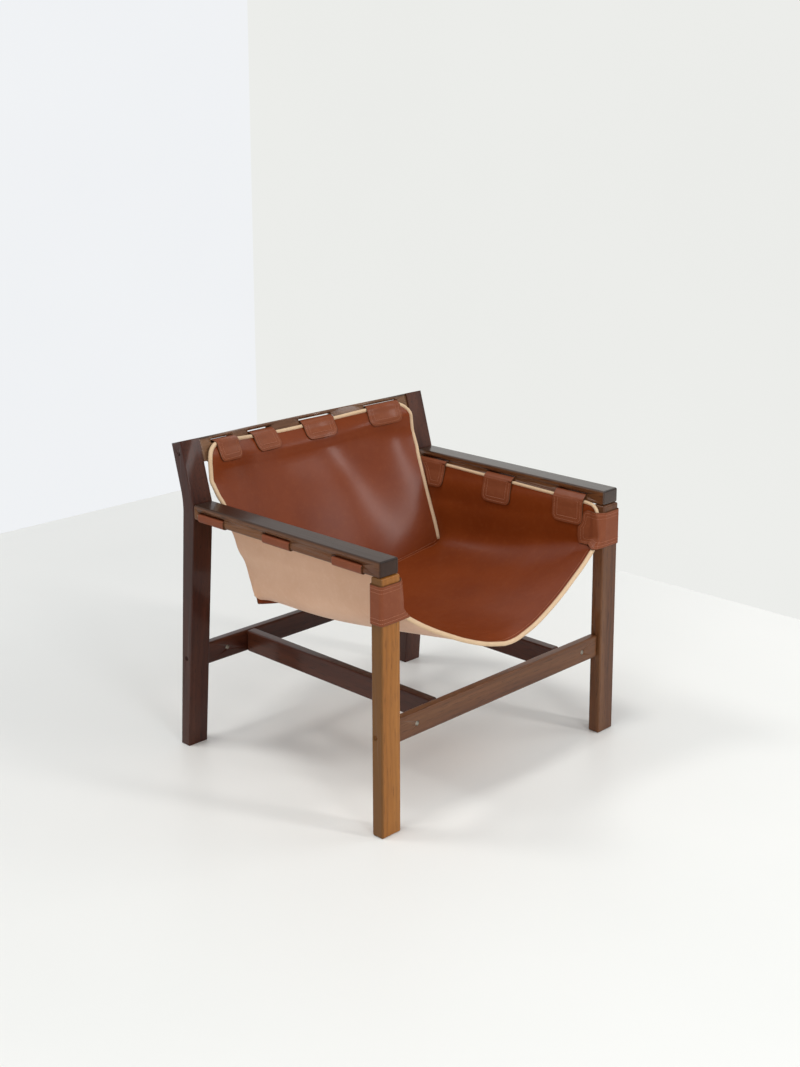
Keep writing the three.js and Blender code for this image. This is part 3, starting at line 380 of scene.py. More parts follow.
upright, level_x, level_y = (0, 0, 0), (0, np.pi / 2, 0), (np.pi / 2, 0, 0)
dark_tones = (16, 8, 5), (60, 26, 15), (90, 48, 30)
brown_tones = (36, 16, 7), (92, 54, 30), (130, 88, 54)
front_tones = (94, 54, 20), (150, 95, 40), (174, 119, 60)
rail_tones = (46, 24, 14), (106, 72, 50), (146, 110, 80)
black, umber = (18, 10, 7), (92, 62, 30)
leg_left, rail_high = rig.box("front_leg_left")[0].x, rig.box("back_rail")[1].z
arm_front, arm_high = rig.box("arm_left")[0].y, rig.box("arm_left")[1].z
# Painted shade: the arms' top faces and front ends are darkened towards black.
arm_painted_shade = [(2, arm_high - 0.005, arm_high - 0.001, black), (1, arm_front + 0.004, arm_front + 0.001, black)]
boards = [
    # Painted shade: the near front leg's outer face, towards -X, is darkened towards umber.
    ("front_leg_left", upright, front_tones, 0.15, [(0, leg_left + 0.006, leg_left + 0.001, umber)]),
    ("front_leg_right", upright, brown_tones, 0.3, []),
    ("back_post_left", upright, dark_tones, 0.3, []), ("back_post_right", upright, dark_tones, 0.3, []),
    ("arm_left", level_y, brown_tones, 0.24, arm_painted_shade), ("arm_right", level_y, brown_tones, 0.7, arm_painted_shade),
    # Painted shade: the back rail's top face is darkened towards black.
    ("back_rail", level_x, rail_tones, 0.5, [(2, rail_high - 0.004, rail_high - 0.001, black)]),
    ("front_stretcher", level_x, brown_tones, 0.3, []), ("rear_stretcher", level_x, dark_tones, 0.3, []),
    ("long_rail_left", level_y, dark_tones, 0.25, []), ("long_rail_right", level_y, dark_tones, 0.3, []),
]


def smooth_copy(name, source, material, angle=52):
    """The node's own shape as one mesh, its corners merged, shaded smooth over the eased edges."""
    mesh = frame["nodes"][source].data.copy()
    piece = bpy.data.objects.new(name, mesh)
    scene.collection.objects.link(piece)
    weld = piece.modifiers.new("weld", "WELD")
    weld.merge_threshold = 1e-5
    mesh.materials.clear()
    mesh.materials.append(material)
    bpy.context.view_layer.update()
    merged = bpy.data.meshes.new_from_object(piece.evaluated_get(bpy.context.evaluated_depsgraph_get()))
    piece.modifiers.clear()
    piece.data = merged
    merged.polygons.foreach_set("use_smooth", np.ones(len(merged.polygons), dtype=bool))
    merged.set_sharp_from_angle(angle=np.radians(angle))
    weighted = piece.modifiers.new("flat_faces", "WEIGHTED_NORMAL")
    weighted.keep_sharp = True
    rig.ride(piece, "root")
    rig.replaces(piece, source)
    return piece


for index, (name, turn, tones, coat, painted_shade) in enumerate(boards):
    finish = rosewood(name + "_wood", turn, (0.37 * index, 0.53 * index, 0.11 * index), *tones, coat, painted_shade)
    board = smooth_copy(name + "_board", name, finish)
    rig.slot(board, "front_wood" if tones is front_tones else "wood")


# Fittings
# Zinc-plated connector bolts, their round nuts in the stretchers and the screws of the back rail,
# all sunk a little below the wood.
def plain_finish(name, low, high, cloud, rough_low, rough_high, metallic=0.0, pile=None):
    """A finish between two tones and two roughnesses by a cloud, which is a noise's scale, detail and
    roughness. A pile is the scale of a fine noise that roughens the surface."""
    made, tree = blank_material(name)
    where = node(tree, "ShaderNodeTexCoord").outputs["Object"]
    stain = noise(tree, where, *cloud)
    inputs = {"Base Color": mixed(tree, stain, paint(*low), paint(*high)), "Metallic": metallic,
              "Roughness": ranged(tree, stain, to_low=rough_low, to_high=rough_high)}
    if pile:
        nap = noise(tree, where, pile, 2.0)
        relief = node(tree, "ShaderNodeBump", {"Height": nap, "Strength": 0.35, "Distance": 0.0003})
        inputs["Normal"] = relief.outputs[0]
    principled(tree, inputs)
    return made


steel = plain_finish("zinc_steel", (120, 112, 100), (176, 170, 158), (260.0, 4.0), 0.28, 0.55, metallic=1.0)
for name in frame["nodes"]:
    if "_bolt_" in name or "_nut_" in name or "_screw_" in name:
        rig.slot(smooth_copy(name + "_steel", name, steel, 40), "steel")


# Seat sheet
# One piece of thick saddle leather hung from both arms: side walls, a dip for the seat and a free
# front edge. The grain side is polished chestnut, the flesh side below is pale and matt.
def unit(arrows):
    """Arrows turned into ones of length 1."""
    return arrows / np.maximum(np.linalg.norm(arrows, axis=-1, keepdims=True), 1e-12)


def lengths_along(line):
    """How far along a line each of its places lies."""
    return np.r_[0, np.cumsum(np.linalg.norm(np.diff(line, axis=0), axis=1))]


def values_at(wanted, lengths, values):
    """Values between those that a line has at its own lengths."""
    return np.stack([np.interp(wanted, lengths, values[:, k]) for k in range(values.shape[1])], -1)


def curve_through(points):
    """A curve through the places: each span is a cubic whose end slopes weigh its neighbours by the
    square root of their lengths. The result gives places by shares of the curve's length."""
    p = np.asarray(points, float)
    ends = np.vstack([2 * p[0] - p[1], p, 2 * p[-1] - p[-2]])
    root = np.sqrt(np.linalg.norm(np.diff(ends, axis=0), axis=1))
    p0, p1, p2, p3 = ends[:-3], ends[1:-2], ends[2:-1], ends[3:]
    a, b, c = root[:-2, None], root[1:-1, None], root[2:, None]
    start = ((p1 - p0) / a - (p2 - p0) / (a + b) + (p2 - p1) / b) * b
    stop = ((p2 - p1) / b - (p3 - p1) / (b + c) + (p3 - p2) / c) * b
    t = np.linspace(0, 1, 81)[:-1, None, None]
    spans = p1 + start * t + (3 * (p2 - p1) - 2 * start - stop) * t**2 + (2 * (p1 - p2) + start + stop) * t**3
    line = np.vstack([spans.transpose(1, 0, 2).reshape(-1, 3), p[-1:]])
    length = lengths_along(line)

    def at(share):
        return values_at(share, length / length[-1], line)
    at.length = length[-1]
    at.line, at.shares = line, length / length[-1]
    return at


def share_at_height(curve, height):
    """The share of a falling curve's length at which it reaches a height."""
    return np.interp(height, curve.line[::-1, 2], curve.shares[::-1])


def blend(low, high, share):
    """The value between two others at a share of the way."""
    return low + (high - low) * share


leather_thickness = 0.003
seat_half = 0.2983
arm_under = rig.box("arm_left")[0].z
seat_front_top = arm_under + 0.001
front_shares = np.array([
    [1, 1.05, 0], [0.999, 0.82, 0.004], [0.9965, 0.58, 0.013], [0.994, 0.44, 0.03], [0.992, 0.35, 0.05],
    [0.9906, 0.29, 0.078], [0.9906, 0.255, 0.11], [0.9906, 0.18, 0.242], [0.9903, 0.15, 0.336],
    [0.9554, 0.2, 0.407], [0.9118, 0.19, 0.454],
    [0.8113, 0.127, 0.548], [0.6973, 0.078, 0.642], [0.5682, -0.011, 0.736], [0.4281, -0.073, 0.83],
    [0.2531, -0.151, 0.925], [0.1301, -0.173, 0.972], [0.06, -0.177, 0.994], [0, -0.178, 1]])
front_edge = curve_through(np.array([0, leg_front, seat_front_top])
                           + front_shares * np.array([seat_half, 0.045, -0.2125]))
seam_half, seam_bow, seam_dip = 0.270, 0.024, 0.039
seam_end = np.array([seam_half, leg_front + 0.4405, arm_under - 0.1625])
rear_shares = np.array([[0, 1, 0], [0.187, 0.838, 0.098], [0.505, 0.636, 0.25], [0.594, 0.457, 0.454],
                        [0.77, 0.312, 0.575], [0.788, 0.133, 0.787], [1, 0, 1]])
rear_wall = np.array([seat_half, seam_end[1], seam_end[2] + 0.174]) + rear_shares * np.array(
    [seam_half - seat_half, 0.0865, -0.174])


def seam_at(share):
    """The seam hangs between its two ends in a shallow parabola, bowed back and dipped down."""
    fall = 1 - share**2
    return np.stack([share * seam_half, seam_end[1] + seam_bow * fall, seam_end[2] - seam_dip * fall], -1)


rear_edge = curve_through(np.vstack([rear_wall, seam_at(np.array([0.8, 0.6, 0.4, 0.2, 0]))]))
corner_end = float(share_at_height(front_edge, seat_front_top - 0.0715))
wall_end = float(share_at_height(rear_edge, seam_end[2]))


def seat_at(across, along):
    """The seat's middle surface. A place runs straight from the front edge to the rear one, and falls
    by one sine arch in the middle of the seat and by another at its two lower corners."""
    inward = 1 - np.abs(across)
    wall = inward < 0.5
    part = np.where(wall, inward, inward - 0.5) / 0.5
    front = front_edge(np.where(wall, corner_end * part, blend(corner_end, 1, part)))
    rear = rear_edge(np.where(wall, wall_end * part, blend(wall_end, 1, part)))
    place = blend(front, rear, along[..., None])
    swing = np.sin(np.pi / 2 * np.clip(part, 0, 1))
    corner_sag = np.where(wall, swing**2, 1 - swing**2)
    middle_sag = np.where(wall, 0, swing**2.33)
    place[..., 2] -= 0.0253 * corner_sag * np.sin(np.pi * along)
    place[..., 2] -= 0.0197 * middle_sag * np.sin(np.pi * along**1.115)
    place[..., 0] *= np.where(across < 0, -1, 1)
    return place


def normals_of(grid):
    """Unit normals of a grid of places: the cross product of its two directions."""
    return unit(np.cross(np.gradient(grid, axis=0), np.gradient(grid, axis=1)))


def distances_over(grid):
    """How far each place lies from the grid's first row and column, measured on the surface."""
    down = np.linalg.norm(np.diff(grid, axis=0), axis=-1).cumsum(0)
    over = np.linalg.norm(np.diff(grid, axis=1), axis=-1).cumsum(1)
    return np.pad(down, ((1, 0), (0, 0))), np.pad(over, ((0, 0), (1, 0)))


def sheet_mesh(name, replaced, slot, grid, thickness, materials, rounding=0.45):
    """A leather slab over a grid, standing for its CAD piece: one layer on each side of it and a rounded
    rim between them. The rim's middle stands out by a share of the thickness. The materials are for the
    upper, lower and rim faces."""
    rows, columns = grid.shape[:2]
    normal = normals_of(grid)
    upper = grid + normal * thickness / 2
    lower = grid - normal * thickness / 2
    index = np.arange(rows * columns).reshape(rows, columns)
    top = np.stack([index[:-1, :-1], index[1:, :-1], index[1:, 1:], index[:-1, 1:]], -1).reshape(-1, 4)
    bottom = top[:, ::-1] + rows * columns
    ring = np.concatenate([index[0, :-1], index[:-1, -1], index[-1, :0:-1], index[:0:-1, 0]])
    inside = np.concatenate([index[1, :-1], index[:-1, -2], index[-2, :0:-1], index[:0:-1, 1]])
    flat = grid.reshape(-1, 3)
    outward = unit(flat[ring] - flat[inside])
    crest = flat[ring] + outward * thickness * rounding
    crests = 2 * rows * columns + np.arange(len(ring))
    after, crests_after = np.roll(ring, -1), np.roll(crests, -1)
    rim_top = np.stack([ring, after, crests_after, crests], -1)
    rim_low = np.stack([crests, crests_after, after + rows * columns, ring + rows * columns], -1)
    points = np.concatenate([upper.reshape(-1, 3), lower.reshape(-1, 3), crest])
    faces = np.concatenate([top, bottom, rim_top, rim_low])
    kinds = np.repeat([0, 1, 2], [len(top), len(bottom), 2 * len(rim_top)])
    piece = mesh_piece(name, points, faces, materials, kinds)
    away, beside = distances_over(grid)
    flat_map = np.stack([away, beside], -1).reshape(-1, 2)
    at_points = np.concatenate([flat_map, flat_map, flat_map[ring]])
    layer = piece.data.uv_layers.new(name="leather_map")
    loops = np.empty(len(piece.data.loops), dtype=np.int32)
    piece.data.loops.foreach_get("vertex_index", loops)
    layer.uv.foreach_set("vector", at_points[loops].astype(np.float32).ravel())
    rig.ride(piece, "root")
    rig.replaces(piece, replaced)
    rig.slot(piece, slot)
    return piece


hide, given = finish_group("tanned_hide", [("Vector", "Vector"), ("Color", "Color"), ("Deep", "Color"),
                                           ("Pale", "Color"), ("Least", "Float"), ("Most", "Float")])
patches = noise(hide, given["Vector"], 7.0, 4.0, 0.55)
mottle = noise(hide, given["Vector"], 70.0, 5.0, 0.65)
scuffs = noise(hide, given["Vector"], 26.0, 8.0, 0.7, 1.4)
cells = node(hide, "ShaderNodeTexVoronoi", {"Vector": given["Vector"], "Scale": 900.0, "Randomness": 0.9})
toned = mixed(hide, ranged(hide, patches, 0.38, 0.66, 0.0, 0.5), given["Color"], given["Deep"])
mottled = mixed(hide, ranged(hide, mottle, 0.5, 0.8, 0.0, 0.3), toned, given["Pale"])
scuffed = mixed(hide, ranged(hide, scuffs, 0.63, 0.75, 0.0, 0.28), mottled, given["Pale"])
pit = ranged(hide, cells.outputs["Distance"], 0.0, 0.6)
creases = node(hide, "ShaderNodeMath", {0: mottle, 1: 1.6, 2: pit}, operation="MULTIPLY_ADD").outputs[0]
node(hide, "NodeGroupOutput", {"Color": scuffed, "Height": creases,
                               "Roughness": ranged(hide, scuffs, 0.3, 0.7, given["Least"], given["Most"])})


def leather(name, colour, deep, pale, least, most, bump, sheen=0.0, coat=0.0):
    """A leather finish over the piece's own map in metres."""
    made, tree = blank_material(name)
    grain = node(tree, "ShaderNodeGroup", {
        "Vector": node(tree, "ShaderNodeUVMap", uv_map="leather_map").outputs[0], "Color": paint(*colour),
        "Deep": paint(*deep), "Pale": paint(*pale), "Least": least, "Most": most}, node_tree=hide).outputs
    relief = node(tree, "ShaderNodeBump", {"Height": grain["Height"], "Strength": bump, "Distance": 0.0004})
    principled(tree, {
        "Base Color": grain["Color"], "Roughness": grain["Roughness"], "Normal": relief.outputs[0],
        "Specular IOR Level": 0.1, "Coat Weight": coat, "Coat Roughness": 0.21, "Sheen Weight": sheen,
        "Sheen Roughness": 0.5})
    return made


grain_side = leather("leather_grain_side", (118, 51, 16), (100, 39, 11), (134, 68, 32), 0.36, 0.5, 0.10,
                     coat=0.22)
flesh_side = leather("leather_flesh_side", (214, 173, 144), (198, 152, 120), (226, 194, 168), 0.7, 0.9, 0.5,
                     sheen=0.2)
cut_edge = leather("leather_cut_edge", (92, 56, 36), (66, 38, 24), (128, 84, 56), 0.5, 0.7, 0.4)

across, along = np.meshgrid(np.linspace(-1, 1, 241), np.linspace(0, 1, 161), indexing="ij")
seat_grid = seat_at(across, along)
aside, along = np.abs(across[1:-1]), along[1:-1]
near_fold = np.clip(1.2 - np.abs(aside - 0.5) / 0.2, 0, 1) * np.clip((along - 0.12) / 0.25, 0, 1)
near_middle = np.clip(1.2 - aside / 0.12, 0, 1) * np.clip(along / 0.1, 0, 1)
eased = (np.maximum(near_fold, near_middle) * (1 - along**10))[..., None]
for _ in range(160):
    seat_grid[1:-1] += 0.25 * eased * (seat_grid[2:] + seat_grid[:-2] - 2 * seat_grid[1:-1])
seat = sheet_mesh("seat_leather", "seat_sheet", "leather", seat_grid, leather_thickness,
                  [grain_side, flesh_side, cut_edge])


# Back sheet
# The second sheet hangs from the bowed back rail by four straps, follows its bow at the top, narrows
# towards the seat and is stitched to the seat's rear edge, with a raw allowance below the seam.
back_half = 0.293
bow_depth = 0.083
leg_inner = 0.301
rail_corner = np.array([0, leg_front + 0.5734, arm_under + 0.1559])
rake = np.arctan2(0.5734 - 0.5377, 0.1249)
rail_down = np.array([0, -np.sin(rake), -np.cos(rake)])
rail_back = np.array([0, np.cos(rake), -np.sin(rake)])
rail_corner = rail_corner + rail_back * 0.003


def bow_at(x):
    """The bow of the back rail: its depth times one minus the cubed share of the width, to the power 3.6."""
    return bow_depth * (1 - np.minimum(1, np.abs(x / leg_inner)) ** 3) ** 3.6


def top_sag_at(x):
    """How far the back's top edge dips below its straps towards the middle."""
    return 0.008 * np.maximum(0, 1 - (x / back_half) ** 2) ** 2.5


corner_radius, top_drop, top_ahead = 0.042, 0.017, 0.005
back_top = rail_corner + rail_down * top_drop - rail_back * top_ahead
back_shares = np.array([
    [0, 0, 0], [0, 0.105, 0.085], [0, 0.119, 0.13], [-0.03, 0.136, 0.217], [-0.06, 0.152, 0.25],
    [0, 0.196, 0.283], [0.13, 0.283, 0.349], [0.28, 0.33, 0.382], [0.65, 0.547, 0.547], [0.86, 0.738, 0.719],
    [1.0, 0.915, 0.878], [1, 1, 1]])
back_corner = np.array([back_half, back_top[1], back_top[2]])
back_side = curve_through(back_corner + back_shares * (seam_end - back_corner))


def back_at(across, along):
    """The back's middle surface: the side edge at each height, bowed like the rail at the top and like
    the seam at the bottom, with rounded upper corners."""
    reach = np.clip(along, 0, 1)
    edge = back_side(reach)
    below = np.clip(reach * back_side.length, 0, corner_radius)
    cut = corner_radius - np.sqrt(corner_radius**2 - (corner_radius - below) ** 2)
    outer = np.maximum(0, np.abs(across) - 0.78) / 0.22
    x = across * edge[..., 0] - np.sign(across) * cut * outer
    lie = reach[..., None] ** 0.7
    top = bow_at(x)[..., None] * rail_back + top_sag_at(x)[..., None] * rail_down
    fall = 1 - (x / seam_half) ** 2
    low = fall[..., None] * np.array([0, seam_bow, -seam_dip])
    return np.stack([x, edge[..., 1], edge[..., 2]], -1) + blend(top, low, lie)


across, along = np.meshgrid(np.linspace(1, -1, 201), np.linspace(0, 1, 151) ** 1.25, indexing="ij")
back_grid = back_at(across, along)
free = np.clip(1.12 - np.abs(across) ** 3, 0, 1) * np.clip((along - 0.16) / 0.08, 0, 1)
free = (free * np.clip((0.97 - along) / 0.1, 0, 1))[:, 1:-1, None]
for _ in range(400):
    back_grid[:, 1:-1] += 0.25 * free * (back_grid[:, 2:] + back_grid[:, :-2] - 2 * back_grid[:, 1:-1])
hem = unit(back_grid[:, -1:] - back_grid[:, -3:-2]) * np.array([0.003, 0.006, 0.009, 0.012])[:, None]
back_grid = np.concatenate([back_grid, back_grid[:, -1:] + hem], 1)
back_piece = sheet_mesh("back_leather", "back_sheet", "leather", back_grid, leather_thickness,
                        [grain_side, flesh_side, cut_edge])


# Piping
# Cream leather cord is sewn round the free edges: along the seat's sides and front and round the back.
# It ends inside the leg bands and at the seam.
def cord_mesh(name, line, radius, material, sides=12):
    """A round cord along a line: circles square to it, carried along without twisting, with closed ends."""
    ahead = unit(np.gradient(line, axis=0))
    turn = np.linspace(0, 2 * np.pi, sides, endpoint=False)
    side = [unit(np.cross(ahead[0], [0.3, 0.2, 0.93]))]
    for step in ahead[1:]:
        side.append(unit(side[-1] - step * (side[-1] @ step)))
    side = np.array(side)
    over = np.cross(ahead, side)
    circle = side[:, None] * np.cos(turn)[None, :, None] + over[:, None] * np.sin(turn)[None, :, None]
    points = (line[:, None] + radius * circle).reshape(-1, 3)
    index = np.arange(len(line) * sides).reshape(len(line), sides)
    after = np.roll(index, -1, axis=1)
    faces = np.stack([index[:-1], after[:-1], after[1:], index[1:]], -1).reshape(-1, 4)
    first_cap, last_cap = len(points), len(points) + 1
    points = np.vstack([points, line[0] - ahead[0] * radius * 0.3, line[-1] + ahead[-1] * radius * 0.3])
    caps = np.concatenate([
        np.stack([after[0], index[0], np.full(sides, first_cap)], -1),
        np.stack([index[-1], after[-1], np.full(sides, last_cap)], -1)])
    piece = mesh_piece(name, points, [*faces.tolist(), *caps.tolist()], [material])
    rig.ride(piece, "root")
    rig.slot(piece, "piping")
    return piece


cream = plain_finish("cream_piping_leather", (194, 162, 126), (218, 188, 152), (45.0, 5.0, 0.7), 0.5, 0.72,
                     pile=1600.0)
side_cord, front_cord, back_cord = 0.0038, 0.0045, 0.0047
band_height = 0.074
band_low = arm_under - 0.0145 - band_height
band_reach = float(share_at_height(front_edge, band_low + band_height / 2))
gap = 0.0014 / front_edge.length
mirror = np.array([-1, 1, 1])
front_half = front_edge(np.linspace(band_reach + gap, 1, 120))
front_run = np.vstack([front_half * mirror, front_half[-2::-1]])
side_run = np.vstack([seat_at(np.ones(60), np.linspace(1, 0, 61)[:-1]),
                      front_edge(np.linspace(0, band_reach - gap, 50))])
back_down = back_at(np.ones(90), (1 - 0.0042 / back_side.length) * np.linspace(1, 0, 90) ** 2)
back_over = back_at(np.linspace(1, -1, 121)[1:-1], np.zeros(119))
back_run = np.vstack([back_down, back_over, (back_down * mirror)[::-1]])
for name, run, radius, replaced in [
        ("seat_piping_left_cord", side_run * mirror, side_cord, "seat_piping_left"),
        ("seat_piping_right_cord", side_run, side_cord, "seat_piping_right"),
        ("seat_piping_front_cord", front_run, front_cord, "seat_piping_front"),
        ("back_piping_cord", back_run, back_cord, "back_piping")]:
    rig.replaces(cord_mesh(name, run, radius, cream), replaced)


# Arm straps
# Three leather straps a side: a double-stitched tongue with rounded corners on the inside of the seat,
# over the piping, through the arm's slot, down its outer face and back in below it.
strap_thickness = 0.0026
strap_side = leather("strap_grain_side", (126, 68, 42), (102, 47, 24), (148, 90, 60), 0.36, 0.5, 0.12,
                     coat=0.14)
strap_flesh = leather("strap_flesh_side", (168, 120, 90), (146, 98, 70), (190, 146, 114), 0.7, 0.9, 0.5)
thread = plain_finish("waxed_thread", (150, 88, 60), (188, 126, 92), (500.0, 2.0), 0.4, 0.6)


def stitches(name, lines, lifts, pitch=0.0034, length=0.0026, width=0.0004):
    """Rows of stitches on lines: each is a short spindle along the line, half sunk in the leather. Lifts are
    the surface normals at the lines' places."""
    rings = np.array([[-0.5, 0.35], [-0.28, 0.9], [0.0, 1.0], [0.28, 0.9], [0.5, 0.35]])
    turn = np.linspace(0, 2 * np.pi, 6, endpoint=False)[None, None, :, None]
    all_points, all_faces, count = [], [], 0
    for line, lift in zip(lines, lifts):
        lengths = lengths_along(line)
        middles = np.arange(pitch / 2, lengths[-1] - pitch / 3, pitch)
        along = unit(values_at(middles + length / 2, lengths, line)
                     - values_at(middles - length / 2, lengths, line))
        out = values_at(middles, lengths, lift)
        out = unit(out - along * (out * along).sum(1, keepdims=True))
        side = np.cross(along, out)
        ring = (rings[None, :, None, :1] * along[:, None, None] * length
                + rings[None, :, None, 1:] * width * (np.cos(turn) * out[:, None, None]
                                                       + np.sin(turn) * side[:, None, None]))
        points = values_at(middles, lengths, line)[:, None, None] + ring + out[:, None, None] * width * 0.4
        index = count + np.arange(points[..., 0].size).reshape(points.shape[:3])
        after = np.roll(index, -1, axis=2)
        faces = np.stack([index[:, :-1], index[:, 1:], after[:, 1:], after[:, :-1]], -1).reshape(-1, 4)
        caps = np.concatenate([index[:, 0, [0, 1, 2, 3]], index[:, 0, [0, 3, 4, 5]],
                               index[:, -1, [3, 2, 1, 0]], index[:, -1, [5, 4, 3, 0]]])
        all_points.append(points.reshape(-1, 3))
        all_faces += [faces, caps]
        count += points[..., 0].size
    piece = mesh_piece(name, np.vstack(all_points), np.vstack(all_faces), [thread])
    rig.ride(piece, "root")
    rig.slot(piece, "strap_leather")


def around(surface, one, two, small):
    """The sheet's places at two shares, and its slopes along both."""
    here = surface(one, two)
    return here, (surface(one + small, two) - here) / small, (surface(one, two + small) - here) / small


def meet(surface, start, look, shares, low, high, stride, small):
    """Where looks from places along one direction meet a sheet, and its normals there, which face back
    along the look. Newton's steps go over the sheet's two shares and the way along the look, with the
    shares and each stride held in limits. The normals come from a small step along each share."""
    one, two = shares
    way = np.zeros(one.shape)
    for _ in range(14):
        here, by_one, by_two = around(surface, one, two, 1e-4)
        columns = np.stack([by_one, by_two, np.broadcast_to(-look, here.shape)], -1)
        step = np.linalg.solve(columns, (start + look * way[..., None] - here)[..., None])[..., 0]
        one = np.clip(one + np.clip(step[..., 0], -stride, stride), low[0], high[0])
        two = np.clip(two + np.clip(step[..., 1], -stride, stride), low[1], high[1])
        way = way + step[..., 2]
    here, by_one, by_two = around(surface, one, two, small)
    out = unit(np.cross(by_one, by_two))
    return here, out * np.where((out * look).sum(-1, keepdims=True) > 0, -1, 1)


def rounded_way(corners, radii, steps=8):
    """A way through corners in a plane, each rounded by its own radius with an arc, as places."""
    corners = np.asarray(corners, float)
    way = [corners[0]]
    for here, before, after, radius in zip(corners[1:-1], corners[:-2], corners[2:], radii):
        one, two = unit(before - here), unit(after - here)
        half = np.arccos(np.clip(one @ two, -1, 1)) / 2
        middle = here + unit(one + two) * radius / np.sin(half)
        first = here + one * radius / np.tan(half) - middle
        last = here + two * radius / np.tan(half) - middle
        sweep = np.arccos(np.clip(first @ last / radius**2, -1, 1))
        share = np.linspace(0, 1, steps)[:, None]
        way.extend(middle + (np.sin((1 - share) * sweep) * first + np.sin(share * sweep) * last)
                   / np.sin(sweep))
    way.append(corners[-1])
    return np.array(way)


def round_cord(ahead, rise, radius, steps):
    """Angles round a cord, from its near side over it until the straight way to a mouth, which lies ahead
    of the cord's middle and above it."""
    leave = np.arctan2(rise, ahead) + np.arccos(radius / np.maximum(radius, np.hypot(ahead, rise)))
    return np.pi + (np.expand_dims(leave, -1) - np.pi) * np.linspace(0, 1, steps)


def spaced(line, count):
    """The line's places again, a number of them, evenly spaced."""
    lengths = lengths_along(line)
    return values_at(np.linspace(0, lengths[-1], count), lengths, line)


def strap_mesh(name, grid):
    """A strap as a slab over its grid of places."""
    sheet_mesh(name + "_leather", name, "strap_leather", grid, strap_thickness,
               [strap_side, strap_flesh, cut_edge])


def tongue_width(width, distance, corner=0.015):
    """A tongue's half width at a distance from its end: a quarter circle at each corner, straight above."""
    inside = np.maximum(0, corner - distance)
    return width / 2 - (corner - np.sqrt(corner**2 - inside**2))


def tongue_rows(width, length, inset, corner=0.015):
    """A thread row inside a tongue's edge: down one side, round the end and up the other, as shares of
    the width from -1 to 1 and distances from the end."""
    radius = corner - inset if corner > inset + 0.002 else 0.002
    side = width / 2 - inset
    turn = np.linspace(0, np.pi / 2, 12)
    up_side = np.linspace(length, inset + radius, 40)
    first = np.stack([np.full(40, -side), up_side], -1)
    bend_one = np.stack([-side + radius - radius * np.cos(turn), inset + radius - radius * np.sin(turn)], -1)
    base = np.stack([np.linspace(-side + radius, side - radius, 40), np.full(40, inset)], -1)
    last = np.concatenate([first, bend_one, base])
    return np.concatenate([last, (last * np.array([-1, 1]))[::-1]])


tongue_lift = leather_thickness / 2 + strap_thickness / 2 + 0.0003
tongue_shares = np.linspace(0, 0.97, 40) ** 0.9
thread_insets = 0.005, 0.0125
threaded_share = 0.92


def leaving(share, clear):
    """How far a tongue's middle lies off the sheet: flat on it, then rising by s^2 (3 - 2 s) over its last
    two fifths until it is clear of the cord."""
    part = np.clip((share - 0.6) / 0.4, 0, 1)
    return tongue_lift + (clear - tongue_lift) * part**2 * (3 - 2 * part)


def places(x, y, z):
    """Places from three coordinates, each repeated over the shape of the others."""
    return np.stack(np.broadcast_arrays(x, y, z), -1)


def on_side(grid, side):
    """A grid drawn for the right, or its mirror image for the left, with the same face outward."""
    return (grid[::-1] if side > 0 else grid) * np.array([side, 1, 1])


under_wood = 0.0016
slot_middle = arm_under + 0.012 + under_wood
strap_low = arm_under - under_wood
arm_inner, arm_outer = 0.3024, 0.35
edge_front, edge_rear = seat_at(np.array(1.0), np.array(0.0)), seat_at(np.array(1.0), np.array(1.0))
rear_limit = rear_edge.line[:200, 2][::-1], rear_edge.line[:200, 1][::-1]
arm_length, arm_width, rear_room = 0.052, 0.078, 0.009
arm_clear = side_cord + strap_thickness / 2 + 0.0004
stations = np.linspace(-1, 1, 49)


def on_seat(y, z):
    """Places and inward normals on the side wall at given distances back and heights."""
    shares = np.full(y.shape, 0.85), np.clip((y - leg_front) / 0.5, 0.02, 0.97)
    outward = np.array([1, 0, 0])
    return meet(seat_at, places(0, y, z), outward, shares, (0.01, 1e-4), (0.9999, 0.9999), 0.1, 1e-3)


for side_name, side in [("left", -1), ("right", 1)]:
    for number, place in enumerate([0.088, 0.2845, 0.481], 1):
        middle_y = leg_front + place
        cord_x, cord_z = edge_front[0], float(np.interp(middle_y, [edge_front[1], edge_rear[1]],
                                                        [edge_front[2], edge_rear[2]]))

        def tongue_part(beside, up, room, lift):
            """Places of the tongue beside its middle and up from its end, and the normals of the sheet
            there. They keep some room to the seat's rear edge and lie off the sheet by a lift."""
            y = np.minimum(middle_y + beside, np.interp(cord_z - arm_length + up, *rear_limit) - room)
            here, inward = on_seat(y, cord_z - arm_length + up)
            return here + inward * lift[..., None], inward

        mouth_z = max(slot_middle + 0.0012, cord_z + np.sqrt(arm_clear**2 - (arm_inner - cord_x) ** 2))
        angle = round_cord(arm_inner - cord_x, mouth_z - cord_z, arm_clear, 12)
        loop = arm_clear * np.stack([np.cos(angle), np.sin(angle)], -1) + np.array([cord_x, cord_z])
        outside = rounded_way([(arm_inner, mouth_z), (arm_outer + under_wood, slot_middle),
                               (arm_outer + under_wood, strap_low), (arm_inner + 0.004, strap_low)],
                              [0.0016, 0.0056])
        section = spaced(np.vstack([loop, outside]), 72)
        share, up = np.meshgrid(stations, tongue_shares * arm_length, indexing="ij")
        beside = share * tongue_width(arm_width, up)
        tongue, _ = tongue_part(beside, up, rear_room, leaving(tongue_shares, arm_clear))
        rest = places(section[:, 0], middle_y + stations[:, None] * arm_width / 2, section[:, 1])
        name = f"arm_strap_{side_name}_{number}"
        strap_mesh(name, on_side(np.concatenate([tongue, rest], 1), side))
        rows = []
        for inset in thread_insets:
            row = tongue_rows(arm_width, arm_length * threaded_share, inset)
            rise = leaving(row[:, 1] / arm_length, arm_clear) + strap_thickness / 2
            rows.append(tongue_part(row[:, 0], row[:, 1], rear_room + inset, rise))
        stitches(name + "_thread", *(np.array(parts) * np.array([side, 1, 1]) for parts in zip(*rows)))


